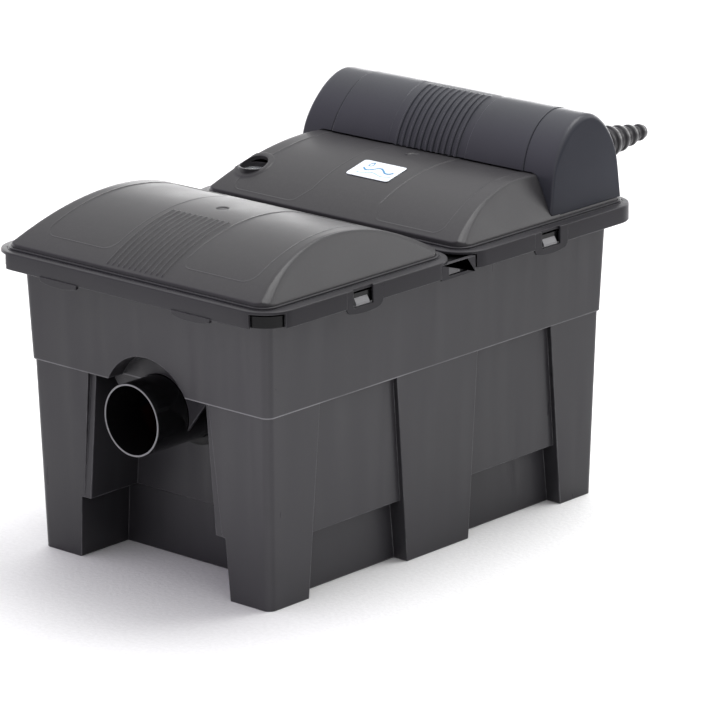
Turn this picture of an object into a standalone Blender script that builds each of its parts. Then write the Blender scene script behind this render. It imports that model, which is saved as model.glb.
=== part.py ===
"""Flow-through pond filter box: moulded tub with a recessed outlet, two domed
clip-on covers, a UV clarifier under its own hood and foam cartridges inside.

Metres, +Z up. Origin on the floor, midway between the tub's sides and between
the front and rear skirts. +X is to the right seen from the front, the outlet
faces -Y and the hose inlet leaves towards +Y.

In each section, cutting tools run past the part they cut; those outer limits
are not sizes of the product.
"""
import math

import bmesh
import bpy
from mathutils import Matrix, Vector

for old_object in list(bpy.data.objects):
    bpy.data.objects.remove(old_object, do_unlink=True)

# ---------------------------------------------------------------- shared dimensions
GAP = 0.0003                      # between pieces that touch
SHARP_ANGLE = 32                  # degrees, above which an edge is shaded sharp

# tub
RIM_BOTTOM, RIM_TOP = 0.3085, 0.3120
LIP_PLAN = (0.1893, 0.2817, 0.031)  # half x, half y, corner radius
WALL = 0.0035
ALCOVE_Y = -0.1850                # wall the outlet pipe passes through
DRAIN_CENTRE = (0, 0, 0.0330)

# covers: outer skirt
SKIRT_HALF_X, SKIRT_HALF_Y = 0.1934, 0.2858
SKIRT_TOP = 0.3174

# covers: domes, with y as distance from the middle of the box
DOME_HALF_X, DOME_NEAR, DOME_FAR = 0.1778, 0.0145, 0.2740
DOME_MID_Y = (DOME_NEAR + DOME_FAR) / 2
DOME_HALF_Y = (DOME_FAR - DOME_NEAR) / 2
DOME_CORNER = 0.0155              # corner radius in plan
DOME_RADIUS, DOME_TOP, DOME_CREST_Y = 0.2337, 0.3625, 0.1435
DOME_BASE, DOME_EDGE = 0.3161, 0.3205
DOME_LEAN = 0.67                  # inward lean of the dome's ends, per metre up
DOME_THICK = 0.003
DOME_CUT_Y = 0.1720               # rear dome ends here, under the hood
DECK_TOP = 0.3222                 # flat deck behind the rear dome

# outlet
PIPE_CENTRE = (0, 0, 0.1728)
PIPE_RADIUS = 0.0375

# UV unit
UV_Y, UV_Z, UV_RADIUS = 0.2140, 0.3600, 0.0300
UV_CENTRE = (0, UV_Y, UV_Z)
SPOUT_CENTRE = (-0.0650, UV_Y, 0)
INLET_X, INLET_Z = 0.0985, 0.3540
INLET_CENTRE = (INLET_X, 0, INLET_Z)
LEAD_X = -0.1430                  # ballast box and mains lead

# level float in the rear cover
FLOAT_X, FLOAT_Y = -0.1440, 0.0560
FLOAT_CENTRE = (FLOAT_X, FLOAT_Y, 0)

# clips: each one's y span, and the y span of the opening inside it
CLIP_X = 0.1908                   # inner face
CLIPS = {"front": ((-0.1730, -0.1200), (-0.1636, -0.1346)),
         "rear": ((0.1120, 0.1640), (0.1225, 0.1520))}


# ---------------------------------------------------------------- materials
def material(name, colour, roughness, alpha=1.0):
    mat = bpy.data.materials.new(name)
    mat.use_nodes = True
    shader = mat.node_tree.nodes["Principled BSDF"]
    shader.inputs["Base Color"].default_value = (*colour, 1.0)
    shader.inputs["Roughness"].default_value = roughness
    shader.inputs["Alpha"].default_value = alpha
    mat.diffuse_color = (*colour, alpha)
    return mat


TUB = material("tub_moulding", colour=(0.052, 0.052, 0.056), roughness=0.42)
COVER = material("cover_moulding", colour=(0.085, 0.085, 0.088), roughness=0.45)
HOOD = material("hood_moulding", colour=(0.070, 0.071, 0.078), roughness=0.42)
PIPE = material("pipe_black", colour=(0.012, 0.012, 0.014), roughness=0.22)
FITTING = material("fitting_black", colour=(0.030, 0.030, 0.031), roughness=0.40)
RUBBER = material("seal_rubber", colour=(0.018, 0.018, 0.018), roughness=0.75)
GRID = material("grid_moulding", colour=(0.060, 0.062, 0.066), roughness=0.50)
FOAM_BLUE = material("foam_blue", colour=(0.045, 0.130, 0.330), roughness=0.95)
FOAM_RED = material("foam_red", colour=(0.420, 0.070, 0.050), roughness=0.95)
LABEL = material("label_white", colour=(0.780, 0.800, 0.820), roughness=0.35)
CLEAR = material("clear_window", colour=(0.850, 0.880, 0.900), roughness=0.06, alpha=0.35)
FLOAT = material("float_white", colour=(0.800, 0.800, 0.790), roughness=0.45)
QUARTZ = material("quartz", colour=(0.900, 0.920, 0.930), roughness=0.04, alpha=0.30)
LAMP = material("lamp_glass", colour=(0.880, 0.890, 0.900), roughness=0.20)
CABLE = material("cable_rubber", colour=(0.015, 0.015, 0.016), roughness=0.60)
HANDLE = material("handle_blue", colour=(0.030, 0.120, 0.300), roughness=0.42)


# ---------------------------------------------------------------- outlines
def rounded(plan, z, centre=(0, 0), steps=5, inset=0.0):
    """A level ring of points: a rounded rectangle of (half x, half y, radius)."""
    half_x, half_y, radius = (size - inset for size in plan)
    points = []
    for side_x, side_y, start in ((1, 1, 0), (-1, 1, 90), (-1, -1, 180), (1, -1, 270)):
        for k in range(steps + 1):
            angle = math.radians(start + 90 * k / steps)
            points.append((centre[0] + side_x * (half_x - radius) + radius * math.cos(angle),
                           centre[1] + side_y * (half_y - radius) + radius * math.sin(angle), z))
    return points


def mirrored(half):
    """Closes half an outline with its mirror image across x = 0."""
    return half + [(-x, z) for x, z in reversed(half) if x]


def bezier(start, pull_start, pull_end, end, count):
    """The first count points of a cubic curve; its end point is left out."""
    points = []
    for k in range(count):
        t = k / count
        s = 1 - t
        points.append(tuple(s ** 3 * a + 3 * s * s * t * b + 3 * s * t * t * c + t ** 3 * d
                            for a, b, c, d in zip(start, pull_start, pull_end, end)))
    return points


def oriented(axis, along, across, up):
    """A point at `along` on the axis, its other two coordinates in XYZ order."""
    return {"X": (along, across, up), "Y": (across, along, up), "Z": (across, up, along)}[axis]


# ---------------------------------------------------------------- solids
def solid(verts, faces):
    mesh = bpy.data.meshes.new("part")
    mesh.from_pydata(verts, [], faces)
    bm = bmesh.new()
    bm.from_mesh(mesh)
    bmesh.ops.remove_doubles(bm, verts=bm.verts, dist=1e-6)
    bmesh.ops.recalc_face_normals(bm, faces=bm.faces)
    bm.to_mesh(mesh)
    bm.free()
    obj = bpy.data.objects.new("part", mesh)
    bpy.context.scene.collection.objects.link(obj)
    return obj


def loft(rings):
    """A closed solid through rings of equal length, capped at both ends."""
    count = len(rings[0])
    last = (len(rings) - 1) * count
    faces = [list(range(count))[::-1], [last + k for k in range(count)]]
    for base in range(0, last, count):
        for k in range(count):
            after = (k + 1) % count
            faces.append([base + k, base + after, base + count + after, base + count + k])
    return solid([point for ring in rings for point in ring], faces)


def rounded_block(plan, levels, centre=(0, 0), steps=5, inset=0.0):
    return loft([rounded(plan, z, centre, steps, inset) for z in levels])


def box(xs, ys, zs):
    """A box from its spans, whose x and y ends may come in either order."""
    (left, right), (front, back) = sorted(xs), sorted(ys)
    return loft([[(left, front, z), (right, front, z), (right, back, z), (left, back, z)]
                 for z in zs])


def prism(outline, axis, span):
    """An outline of two coordinates, drawn out along an axis."""
    return loft([[oriented(axis, along, *point) for point in outline] for along in sorted(span)])


def turned(profile, axis, centre, segments):
    """A closed outline of (radius, position along the axis) spun about an axis
    through centre. Points at radius 0 close the shape on its axis."""
    verts, rows = [], []
    for radius, along in profile:
        row = []
        for k in range(segments if radius > 1e-9 else 1):
            angle = 2 * math.pi * k / segments
            point = oriented(axis, along, radius * math.cos(angle), radius * math.sin(angle))
            row.append(len(verts))
            verts.append(tuple(p + c for p, c in zip(point, centre)))
        rows.append(row)
    faces = []
    for first, second in zip(rows, rows[1:] + rows[:1]):
        if len(first) == len(second) == 1:
            continue
        for k in range(segments):
            corners = [first[k % len(first)], first[(k + 1) % len(first)],
                       second[(k + 1) % len(second)], second[k % len(second)]]
            faces.append(list(dict.fromkeys(corners)))
    return solid(verts, faces)


def rod(axis, centre, radius, span, segments):
    start, end = span
    return turned([(0, start), (radius, start), (radius, end), (0, end)], axis, centre, segments)


def tube(axis, centre, inner, outer, span, segments):
    start, end = span
    return turned([(inner, start), (outer, start), (outer, end), (inner, end)],
                  axis, centre, segments)


# ---------------------------------------------------------------- operations
def tidy(mesh):
    """Welds the hair-thin edges an exact Boolean can leave."""
    bm = bmesh.new()
    bm.from_mesh(mesh)
    bmesh.ops.remove_doubles(bm, verts=bm.verts, dist=2e-6)
    bm.to_mesh(mesh)
    bm.free()


def boolean(obj, tools, operation):
    """Applies one exact Boolean per tool and removes the tools."""
    for tool in tools:
        modifier = obj.modifiers.new("Boolean", "BOOLEAN")
        modifier.operation = operation
        modifier.solver = "EXACT"
        modifier.object = tool
        bpy.context.view_layer.update()
        graph = bpy.context.evaluated_depsgraph_get()
        mesh = bpy.data.meshes.new_from_object(obj.evaluated_get(graph))
        obj.modifiers.clear()
        old_mesh = obj.data
        obj.data = mesh
        bpy.data.meshes.remove(old_mesh)
        bpy.data.objects.remove(tool, do_unlink=True)
        tidy(mesh)
    return obj


def cut(obj, *tools):
    return boolean(obj, tools, "DIFFERENCE")


def join(obj, *tools):
    return boolean(obj, tools, "UNION")


def keep(obj, *tools):
    return boolean(obj, tools, "INTERSECT")


def add_ribs(obj, count, axis, centre, *spans):
    """Joins evenly spaced copies of a box, given by its spans, round an axis."""
    for k in range(count):
        rib = box(*spans)
        turn = Matrix.Rotation(math.radians(360 * k / count), 4, axis)
        rib.data.transform(Matrix.Translation(centre) @ turn)
        join(obj, rib)
    return obj


def finish(obj, name, mat, pivot=None):
    """Names a part, gives it its one material, shades it and sets its origin."""
    obj.name = name
    obj.data.name = name
    obj.data.materials.clear()
    obj.data.materials.append(mat)
    for polygon in obj.data.polygons:
        polygon.material_index = 0
    obj.data.shade_smooth()
    obj.data.set_sharp_from_angle(angle=math.radians(SHARP_ANGLE))
    if pivot is not None:
        shift = Vector(pivot)
        obj.data.transform(Matrix.Translation(-shift))
        obj.location = shift


# ---------------------------------------------------------------- tub
STEP_Z = 0.2009                   # the walls step out here
PLINTH_Z = 0.0655                 # the recesses deepen below this
FLOOR_HALF = (0.1578, 0.2502)     # half x, half y at the floor
LOW_HALF = (0.1629, 0.2553)       # just below the step
UPPER_HALF = (0.1646, 0.2570)     # just above the step
RIM_HALF = (0.1688, 0.2612)
TUB_CORNER = 0.009

# side bays: y span at the floor, y span at the step
BAYS = [((-0.1930, -0.0460), (-0.1800, -0.0660)),
        ((0.0490, 0.1970), (0.0580, 0.1740))]
PANEL_IN = 0.0057                 # depth of a bay above the plinth line
PLINTH_X = 0.1395                 # inner face of a bay below it

# end recesses: half widths at the bottom and at the top
STRIP_HALVES = (0.0960, 0.0830)
ALCOVE_HALVES = (0.0868, 0.0755)
FOOT_HALVES = (0.1050, 0.1000)
FRONT_STRIP_Y, REAR_STRIP_Y = -0.2515, 0.2495
FRONT_FOOT_Y, REAR_FOOT_Y = ALCOVE_Y + 0.0025, 0.2318

ARCH_RADIUS, ARCH_Y = 0.0600, -0.2360
TUNNEL_RADIUS = 0.0490            # room round the pipe behind the web
LIP_BOTTOM, LIP_THICK = 0.3003, 0.0026

# web round the pipe
WEB_Y, WEB_THICK = ARCH_Y - 0.0003, 0.0032
# half outline (x, z), from the bottom up to the crown
WEB_OUTLINE = [(0.0297, 0.1514), (0.0690, 0.2009), (0.0720, 0.2025), (0.0450, 0.2140),
               (0.0330, 0.2180), (0.0180, 0.2245), (0, 0.2260)]

# section (x, z) of a clip catch on the right side
CATCH_OUTLINE = [(0.1880, 0.3085), (0.1895, 0.3085), (0.1904, 0.3020), (0.1904, 0.3008),
                 (0.1880, 0.3008)]


def tub_body(wall):
    """The tub's outer form (wall 0) or, shrunk by the wall, its inside."""
    def level(half, z):
        return rounded((half[0] - wall, half[1] - wall, TUB_CORNER - wall / 2), z)

    # the inside runs out through the rim
    top = RIM_TOP if wall == 0 else RIM_TOP + 0.02
    lower = loft([level(FLOOR_HALF, wall), level(LOW_HALF, STEP_Z + wall + 0.0005)])
    upper = loft([level(UPPER_HALF, STEP_Z + wall), level(RIM_HALF, top)])
    return join(lower, upper)


def bay(side, floor_span, step_span, wall):
    """A recess in a side wall between two legs, tapering with the legs: shallow
    above the plinth line and deeper below it."""
    share = PLINTH_Z / STEP_Z
    foot_x = PLINTH_X - wall
    plinth_x = FLOOR_HALF[0] + (LOW_HALF[0] - FLOOR_HALF[0]) * share - PANEL_IN - wall
    step_x = LOW_HALF[0] - PANEL_IN - wall
    outline = [(0.2, -0.02), (0.2, STEP_Z + wall), (step_x, STEP_Z + wall),
               (plinth_x, PLINTH_Z + wall), (foot_x, PLINTH_Z + wall), (foot_x, -0.02)]
    return loft([[(side * x, at_floor + (at_step - at_floor) * z / STEP_Z + grow, z)
                  for x, z in outline]
                 for at_floor, at_step, grow in zip(floor_span, step_span, (-wall, wall))])


def end_recess(halves, levels, inner_y, wall):
    """A tapering recess in the front or rear wall, as deep as inner_y."""
    side = math.copysign(1, inner_y)
    front, back = sorted((inner_y - side * wall, side * 0.30))
    rings = []
    for half, z in zip(halves, levels):
        half += wall
        rings.append([(-half, front, z), (half, front, z), (half, back, z), (-half, back, z)])
    return loft(rings)


def tub_recesses(wall):
    """All hollows in the tub's outside, each grown by wall."""
    # the upper recesses run down into the foot recess, which is wider and deeper
    upper = (PLINTH_Z - 0.0010 - wall, STEP_Z + wall)
    foot = (-0.02, PLINTH_Z + wall)
    tools = [bay(side, *spans, wall) for side in (-1, 1) for spans in BAYS]
    tools += [
        end_recess(STRIP_HALVES, upper, FRONT_STRIP_Y, wall),
        end_recess(ALCOVE_HALVES, upper, ALCOVE_Y, wall),
        end_recess(FOOT_HALVES, foot, FRONT_FOOT_Y, wall),
        # arch over the pipe, and the round tunnel behind it
        rod("Y", PIPE_CENTRE, ARCH_RADIUS + wall, (-0.30, ARCH_Y + wall), 48),
        rod("Y", PIPE_CENTRE, TUNNEL_RADIUS + wall, (-0.2450, ALCOVE_Y + wall), 44),
        end_recess(STRIP_HALVES, upper, REAR_STRIP_Y, wall),
        end_recess(FOOT_HALVES, foot, REAR_FOOT_Y, wall)]
    return tools


def rim_lip():
    """The flange's turned-down lip."""
    return cut(rounded_block(LIP_PLAN, (LIP_BOTTOM, RIM_TOP - 0.001), steps=7),
               rounded_block(LIP_PLAN, (0.29, 0.32), steps=7, inset=LIP_THICK))


def outlet_web():
    web = prism(mirrored(WEB_OUTLINE), "Y", (WEB_Y, WEB_Y + WEB_THICK))
    return cut(web, rod("Y", PIPE_CENTRE, PIPE_RADIUS + 0.0008, (-0.25, -0.22), 48))


def window_frame(side):
    """The frame seen between the two covers, with a plate in its window."""
    frame = box((side * 0.1875, side * 0.1931), (-0.0321, 0.0189), (0.2978, 0.3141))
    window = box((side * 0.1899, side * 0.1950), (-0.0213, 0.0063), (0.3012, 0.3135))
    plate = box((side * 0.1893, side * 0.1917), (-0.0220, -0.0040), (0.3020, 0.3128))
    return join(cut(frame, window), plate)


def build_container():
    tub = cut(tub_body(0.0), *tub_recesses(0.0))
    inside = cut(tub_body(WALL), *tub_recesses(WALL))
    flange = rounded_block(LIP_PLAN, (RIM_BOTTOM, RIM_TOP), steps=7)
    join(tub, flange, rim_lip())
    cut(tub, inside)
    middle_bar = box((-0.1670, 0.1670), (-0.0100, 0.0100), (0.3020, RIM_TOP))
    join(tub, middle_bar, outlet_web())
    cut(tub, rod("Y", PIPE_CENTRE, PIPE_RADIUS + 0.0006, (-0.1900, -0.1750), 48),
        rod("Y", DRAIN_CENTRE, 0.0128, (0.2200, 0.2400), 24))
    for side in (-1, 1):
        for _, (window_y0, window_y1) in CLIPS.values():
            join(tub, prism([(side * x, z) for x, z in CATCH_OUTLINE], "Y",
                            (window_y0 + 0.0045, window_y1 - 0.0050)))
        join(tub, window_frame(side))
    finish(tub, "container", TUB)


# ---------------------------------------------------------------- cover frames
SKIRT_BOTTOM = 0.2996
SKIRT_THICK = 0.0025
SKIRT_CORNER = 0.035
SKIRT_BEVEL = 0.0009
ROOF_UNDER = 0.3145               # underside of the frame's flat top
MIDDLE_GAP = 0.002                # half the gap between the two covers
OPENING_PLAN = (0.1715, 0.1233, 0.028)
SEAT_PLAN = (DOME_HALF_X + 0.0012, DOME_HALF_Y + 0.0011, DOME_CORNER + 0.0012)
BEAD_WIDTH, BEAD_BEVEL = 0.0020, 0.0005
LIP_SLACK = 0.0007                # room round the tub's lip
CLIP_SLACK = 0.0004

# finger tabs under the front skirt
TAB_XS = (-0.0910, 0.0910)
TAB_BOTTOM = 0.2942
# left half outline: x from the tab's middle, z
TAB_OUTLINE = [(-0.0262, 0.3010), (-0.0250, TAB_BOTTOM + 0.0030),
               (-0.0180, TAB_BOTTOM + 0.0011), (-0.0080, TAB_BOTTOM)]


def skirt_openings(side, key):
    """Cutters for the skirt's inner side, the front corners and the clips."""
    open_y = 0.0325 if side < 0 else 0.0240
    tools = [box((-0.21, 0.21), (0, side * open_y), (0.28, ROOF_UNDER))]
    if side < 0:
        tools += [box((side_x * 0.1665, side_x * 0.21), (-0.30, -0.2590), (0.28, ROOF_UNDER))
                  for side_x in (-1, 1)]
    (clip_y0, clip_y1), _ = CLIPS[key]
    tools += [box((side_x * (CLIP_X - CLIP_SLACK), side_x * 0.21),
                  (clip_y0 - CLIP_SLACK, clip_y1 + CLIP_SLACK), (0.28, 0.33))
              for side_x in (-1, 1)]
    return tools


def build_cover_frame(side, key):
    centre = (0, side * (MIDDLE_GAP + SKIRT_HALF_Y) / 2)
    plan = (SKIRT_HALF_X, (SKIRT_HALF_Y - MIDDLE_GAP) / 2, SKIRT_CORNER)
    dome_centre = (0, side * DOME_MID_Y)
    frame = loft([rounded(plan, SKIRT_BOTTOM, centre, 7),
                  rounded(plan, SKIRT_TOP - SKIRT_BEVEL, centre, 7),
                  rounded(plan, SKIRT_TOP, centre, 7, SKIRT_BEVEL)])
    # a low bead runs round the dome's seat
    bead = loft([rounded(SEAT_PLAN, z, dome_centre, 6, inset)
                 for z, inset in ((0.3160, -BEAD_WIDTH), (0.3190, -BEAD_WIDTH),
                                  (0.3196, BEAD_BEVEL - BEAD_WIDTH))])
    lip_room = (LIP_PLAN[0] + LIP_SLACK, LIP_PLAN[1] + LIP_SLACK, LIP_PLAN[2])
    join(frame, bead)
    cut(frame,
        rounded_block(plan, (0.28, ROOF_UNDER), centre, 7, SKIRT_THICK),
        rounded_block(OPENING_PLAN, (0.30, 0.33), dome_centre),
        rounded_block(SEAT_PLAN, (0.3158, 0.33), dome_centre, 6),
        rounded_block(lip_room, (0.28, 0.3135), steps=6),
        *skirt_openings(side, key))
    if side < 0:
        for tab_x in TAB_XS:
            join(frame, prism([(tab_x + x, z) for x, z in mirrored(TAB_OUTLINE)], "Y",
                              (-SKIRT_HALF_Y, -SKIRT_HALF_Y + SKIRT_THICK)))
    finish(frame, "%s_lid_frame" % key, COVER)


# ---------------------------------------------------------------- cover domes
DOME_STEPS = 14                   # along the long arch


def dome_arch(y, inset=0.0):
    """Height of the dome's long arch at a distance y from the box's middle."""
    radius = DOME_RADIUS - inset
    return DOME_TOP - DOME_RADIUS + math.sqrt(radius * radius - (y - DOME_CREST_Y) ** 2)


def dome_solid(side, inset=0.0, base=DOME_BASE):
    """The space under a cover's dome: an arch along Y whose ends at left and
    right lean in. side is -1 for the front cover, +1 for the rear one."""
    near, far = DOME_NEAR + inset, DOME_FAR - inset
    ys = [near + (far - near) * k / DOME_STEPS for k in range(DOME_STEPS + 1)]
    arch = [(y, dome_arch(y, inset)) for y in ys]
    outline = arch + [(far, DOME_EDGE), (far, base), (near, base), (near, DOME_EDGE)]
    verts = []
    for side_x in (-1, 1):
        for y, z in outline:
            half = DOME_HALF_X - inset - max(z - DOME_EDGE, 0.0) * DOME_LEAN
            verts.append((side_x * half, side * y, z))
    count, edge = len(outline), len(arch)
    faces = [[k, (k + 1) % count, count + (k + 1) % count, count + k] for k in range(count)]
    for first in (0, count):
        # each end is a leaning panel above an upright strip
        faces.append([first + k for k in range(edge)] + [first + edge, first + count - 1])
        faces.append([first + edge + k for k in range(4)])
    return keep(solid(verts, faces),
                rounded_block((DOME_HALF_X, DOME_HALF_Y, DOME_CORNER), (base - 0.01, 0.38),
                              (0, side * DOME_MID_Y), inset=inset))


def rear_solid(inset=0.0, base=DOME_BASE):
    """The rear dome stops under the hood, where a flat deck carries the UV unit."""
    return cut(dome_solid(1, inset, base),
               box((-0.20, 0.20), (DOME_CUT_Y - inset, 0.30), (DECK_TOP - inset, 0.40)))


def build_front_lid():
    finish(cut(dome_solid(-1), dome_solid(-1, DOME_THICK, DOME_BASE - 0.01)),
           "front_lid", COVER)


def build_rear_lid():
    lid = cut(rear_solid(), rear_solid(DOME_THICK, DOME_BASE - 0.01))
    # the float's cup, trimmed to stay just below the dome's outer face
    cup = keep(rod("Z", FLOAT_CENTRE, 0.0168, (0.3300, 0.3520), 32),
               rear_solid(0.0012, 0.3200))
    join(lid, cup)
    cut(lid,
        rod("Z", FLOAT_CENTRE, 0.0150, (0.3330, 0.3700), 32),
        rod("Z", FLOAT_CENTRE, 0.0125, (0.3100, 0.3400), 32),
        rod("Z", SPOUT_CENTRE, 0.0156, (0.3000, 0.3400), 24))
    finish(lid, "rear_lid", COVER)


# ---------------------------------------------------------------- cover seals
SEAL_PLAN, SEAL_MID_Y = (0.1762, 0.1300, 0.020), 0.1410
SEAL_TOP, SEAL_WIDTH = 0.3142, 0.0035


def build_lid_seal(side, key):
    centre = (0, side * SEAL_MID_Y)
    seal = cut(rounded_block(SEAL_PLAN, (RIM_TOP + GAP, SEAL_TOP), centre, 4),
               rounded_block(SEAL_PLAN, (0.30, 0.33), centre, 4, SEAL_WIDTH))
    finish(seal, "%s_lid_seal" % key, RUBBER)


# ---------------------------------------------------------------- hood
HOOD_BOTTOM, HOOD_SIDE_Z, HOOD_CROWN = 0.3226, 0.3620, 0.4170
HOOD_BOTTOM_HALF_X, HOOD_CROWN_HALF_X = 0.1765, 0.1695
HOOD_THICK = 0.0028
HOOD_FRONT, HOOD_BACK = 0.1570, 0.2712
HOOD_MID_Y, HOOD_CROWN_Y = 0.2150, 0.2250
HOOD_SLACK = 0.0006               # round the rear dome
INLET_SLOT_RADIUS = 0.0200
LEAD_SLOT_HALF = 0.0060
# eased ends: share of the half length, pull towards the section's centre
HOOD_ENDS = [(1.0, 0.0050), (0.9985, 0.0025), (0.9950, 0.0009), (0.9890, 0.0)]


def hood_profile(inset, bottom):
    """The hood's cross-section: a front flank leaning back, a round crown and a
    steeper back flank, as (y, z) from front to back."""
    top = HOOD_CROWN - inset
    crown = (HOOD_CROWN_Y, top)
    front_side = (0.1648 + inset, HOOD_SIDE_Z)
    back_side = (0.2690 - inset, HOOD_SIDE_Z)
    return [(HOOD_FRONT + inset, bottom),
            *bezier(front_side, (0.1720 + inset, 0.3900 - inset / 2),
                    (0.1980 + inset / 2, top), crown, 10),
            *bezier(crown, (0.2460, top), (0.2665 - inset, 0.3970 - inset / 2), back_side, 9),
            back_side, (HOOD_BACK - inset, bottom)]


def hood_solid(inset=0.0, bottom=HOOD_BOTTOM):
    """The hood as a loft along X with eased ends."""
    right = []
    for share, ease in HOOD_ENDS:
        ring = []
        for y, z in hood_profile(inset, bottom):
            rise = (z - HOOD_BOTTOM) / (HOOD_CROWN - HOOD_BOTTOM)
            taper = (HOOD_CROWN_HALF_X - HOOD_BOTTOM_HALF_X) * rise
            half = (HOOD_BOTTOM_HALF_X + taper - inset) * share
            from_y, from_z = y - HOOD_MID_Y, z - HOOD_BOTTOM
            length = math.hypot(from_y, from_z)
            # the bottom edge stays level
            lower = from_z / length * ease if z > bottom + 1e-6 else 0.0
            ring.append((half, y - from_y / length * ease, z - lower))
        right.append(ring)
    left = [[(-x, y, z) for x, y, z in ring] for ring in right]
    return loft(left + right[::-1])


def build_hood():
    hood = cut(hood_solid(), hood_solid(HOOD_THICK, HOOD_BOTTOM - 0.01))
    top = dome_arch(0.160) + HOOD_SLACK
    edge = DOME_HALF_X + HOOD_SLACK
    dome_mouth = mirrored([(edge, 0.30), (edge, DOME_EDGE),
                           (edge - (top - DOME_EDGE) * DOME_LEAN, top)])
    inlet_slot = [(INLET_X - INLET_SLOT_RADIUS, 0.31), (INLET_X + INLET_SLOT_RADIUS, 0.31)]
    for degrees in range(0, 181, 15):
        angle = math.radians(degrees)
        inlet_slot.append((INLET_X + INLET_SLOT_RADIUS * math.cos(angle),
                           INLET_Z + INLET_SLOT_RADIUS * math.sin(angle)))
    cut(hood,
        prism(dome_mouth, "Y", (0.14, DOME_CUT_Y + HOOD_SLACK)),
        prism(inlet_slot, "Y", (0.25, 0.29)),
        box((LEAD_X - LEAD_SLOT_HALF, LEAD_X + LEAD_SLOT_HALF), (0.25, 0.29), (0.31, 0.3400)))
    finish(hood, "uvc_hood", HOOD, pivot=(0, HOOD_MID_Y, HOOD_BOTTOM))


# ---------------------------------------------------------------- label and level float
LABEL_X, LABEL_Y = -0.0005, 0.0880
LABEL_PLAN = (0.0290, 0.0165, 0.0035)
LABEL_STEPS = 6

# profiles: (radius, z)
GUIDE_PROFILE = [(0.0036, 0.3040), (0.0165, 0.3040), (0.0165, 0.3297), (0.0125, 0.3297),
                 (0.0125, 0.3070), (0.0036, 0.3070)]
BOBBER_TOP = 0.3262
BOBBER_PROFILE = [(0, 0.2960), (0.0030, 0.2960), (0.0030, 0.3220), (0.0112, 0.3220),
                  (0.0112, BOBBER_TOP), (0, BOBBER_TOP)]


def build_label():
    """A thin label following the rear dome's arch."""
    half_x, half_y, _ = LABEL_PLAN
    rows = [LABEL_Y - half_y + 2 * half_y * k / LABEL_STEPS for k in range(LABEL_STEPS + 1)]
    under = [(y, dome_arch(y) + GAP) for y in rows]
    over = [(y, dome_arch(y) + 0.0010) for y in rows]
    label = prism(under + over[::-1], "X", (LABEL_X - half_x, LABEL_X + half_x))
    keep(label, rounded_block(LABEL_PLAN, (0.33, 0.38), (LABEL_X, LABEL_Y), 4))
    finish(label, "name_label", LABEL)


def build_level_float():
    finish(rod("Z", FLOAT_CENTRE, 0.0147, (0.3333, 0.3353), 32), "window_lens", CLEAR)
    finish(turned(GUIDE_PROFILE, "Z", FLOAT_CENTRE, 18), "float_guide", FITTING)
    finish(turned(BOBBER_PROFILE, "Z", FLOAT_CENTRE, 18), "level_float", FLOAT,
           pivot=(FLOAT_X, FLOAT_Y, BOBBER_TOP))


# ---------------------------------------------------------------- clips
CLIP_WINDOW_Z = 0.2990            # bottom of the opening
CLIP_PIVOT_Z = 0.3165
# lower edge: distance in from either end, z
CLIP_EDGE = [(0, 0.2985), (0.0030, 0.2940), (0.0110, 0.2923), (0.0200, 0.2915)]


def build_clips():
    """Four U-shaped clips, open at the top."""
    for side_name, side in (("right", 1), ("left", -1)):
        for key, ((start, end), (window_start, window_end)) in CLIPS.items():
            outline = [(start, SKIRT_TOP)]
            outline += [(start + inward, z) for inward, z in CLIP_EDGE]
            outline += [(end - inward, z) for inward, z in reversed(CLIP_EDGE)]
            outline += [(end, SKIRT_TOP), (window_end, SKIRT_TOP), (window_end, CLIP_WINDOW_Z),
                        (window_start, CLIP_WINDOW_Z), (window_start, SKIRT_TOP)]
            clip = prism(outline, "X", (side * CLIP_X, side * SKIRT_HALF_X))
            finish(clip, "clip_%s_%s" % (key, side_name), COVER,
                   pivot=(side * (CLIP_X + SKIRT_HALF_X) / 2, (start + end) / 2, CLIP_PIVOT_Z))


# ---------------------------------------------------------------- outlet
PIPE_WALL = 0.0022
PIPE_MOUTH, PIPE_END = -0.2790, -0.1700
COLLAR_BORE = 0.0378              # inner radius of seal and locknut
LOCKNUT_SPAN = (ALCOVE_Y + WALL + GAP, -0.1705)
# (radius, y)
OUTLET_SEAL_PROFILE = [(COLLAR_BORE, -0.1910), (0.0430, -0.1910), (0.0465, -0.1885),
                       (0.0465, ALCOVE_Y - GAP), (COLLAR_BORE, ALCOVE_Y - GAP)]


def build_outlet():
    finish(tube("Y", PIPE_CENTRE, PIPE_RADIUS - PIPE_WALL, PIPE_RADIUS,
                (PIPE_MOUTH, PIPE_END), 40), "outlet_pipe", PIPE)
    finish(turned(OUTLET_SEAL_PROFILE, "Y", PIPE_CENTRE, 32), "outlet_seal", RUBBER)
    nut = tube("Y", PIPE_CENTRE, COLLAR_BORE, 0.0440, LOCKNUT_SPAN, 32)
    add_ribs(nut, 8, "Y", PIPE_CENTRE, (-0.004, 0.004), LOCKNUT_SPAN, (0.042, 0.0475))
    finish(nut, "outlet_locknut", FITTING, pivot=(0, -0.1760, PIPE_CENTRE[2]))


# ---------------------------------------------------------------- UV unit
SPOUT_TOP = 0.3226                # where the lower spout meets the housing
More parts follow.
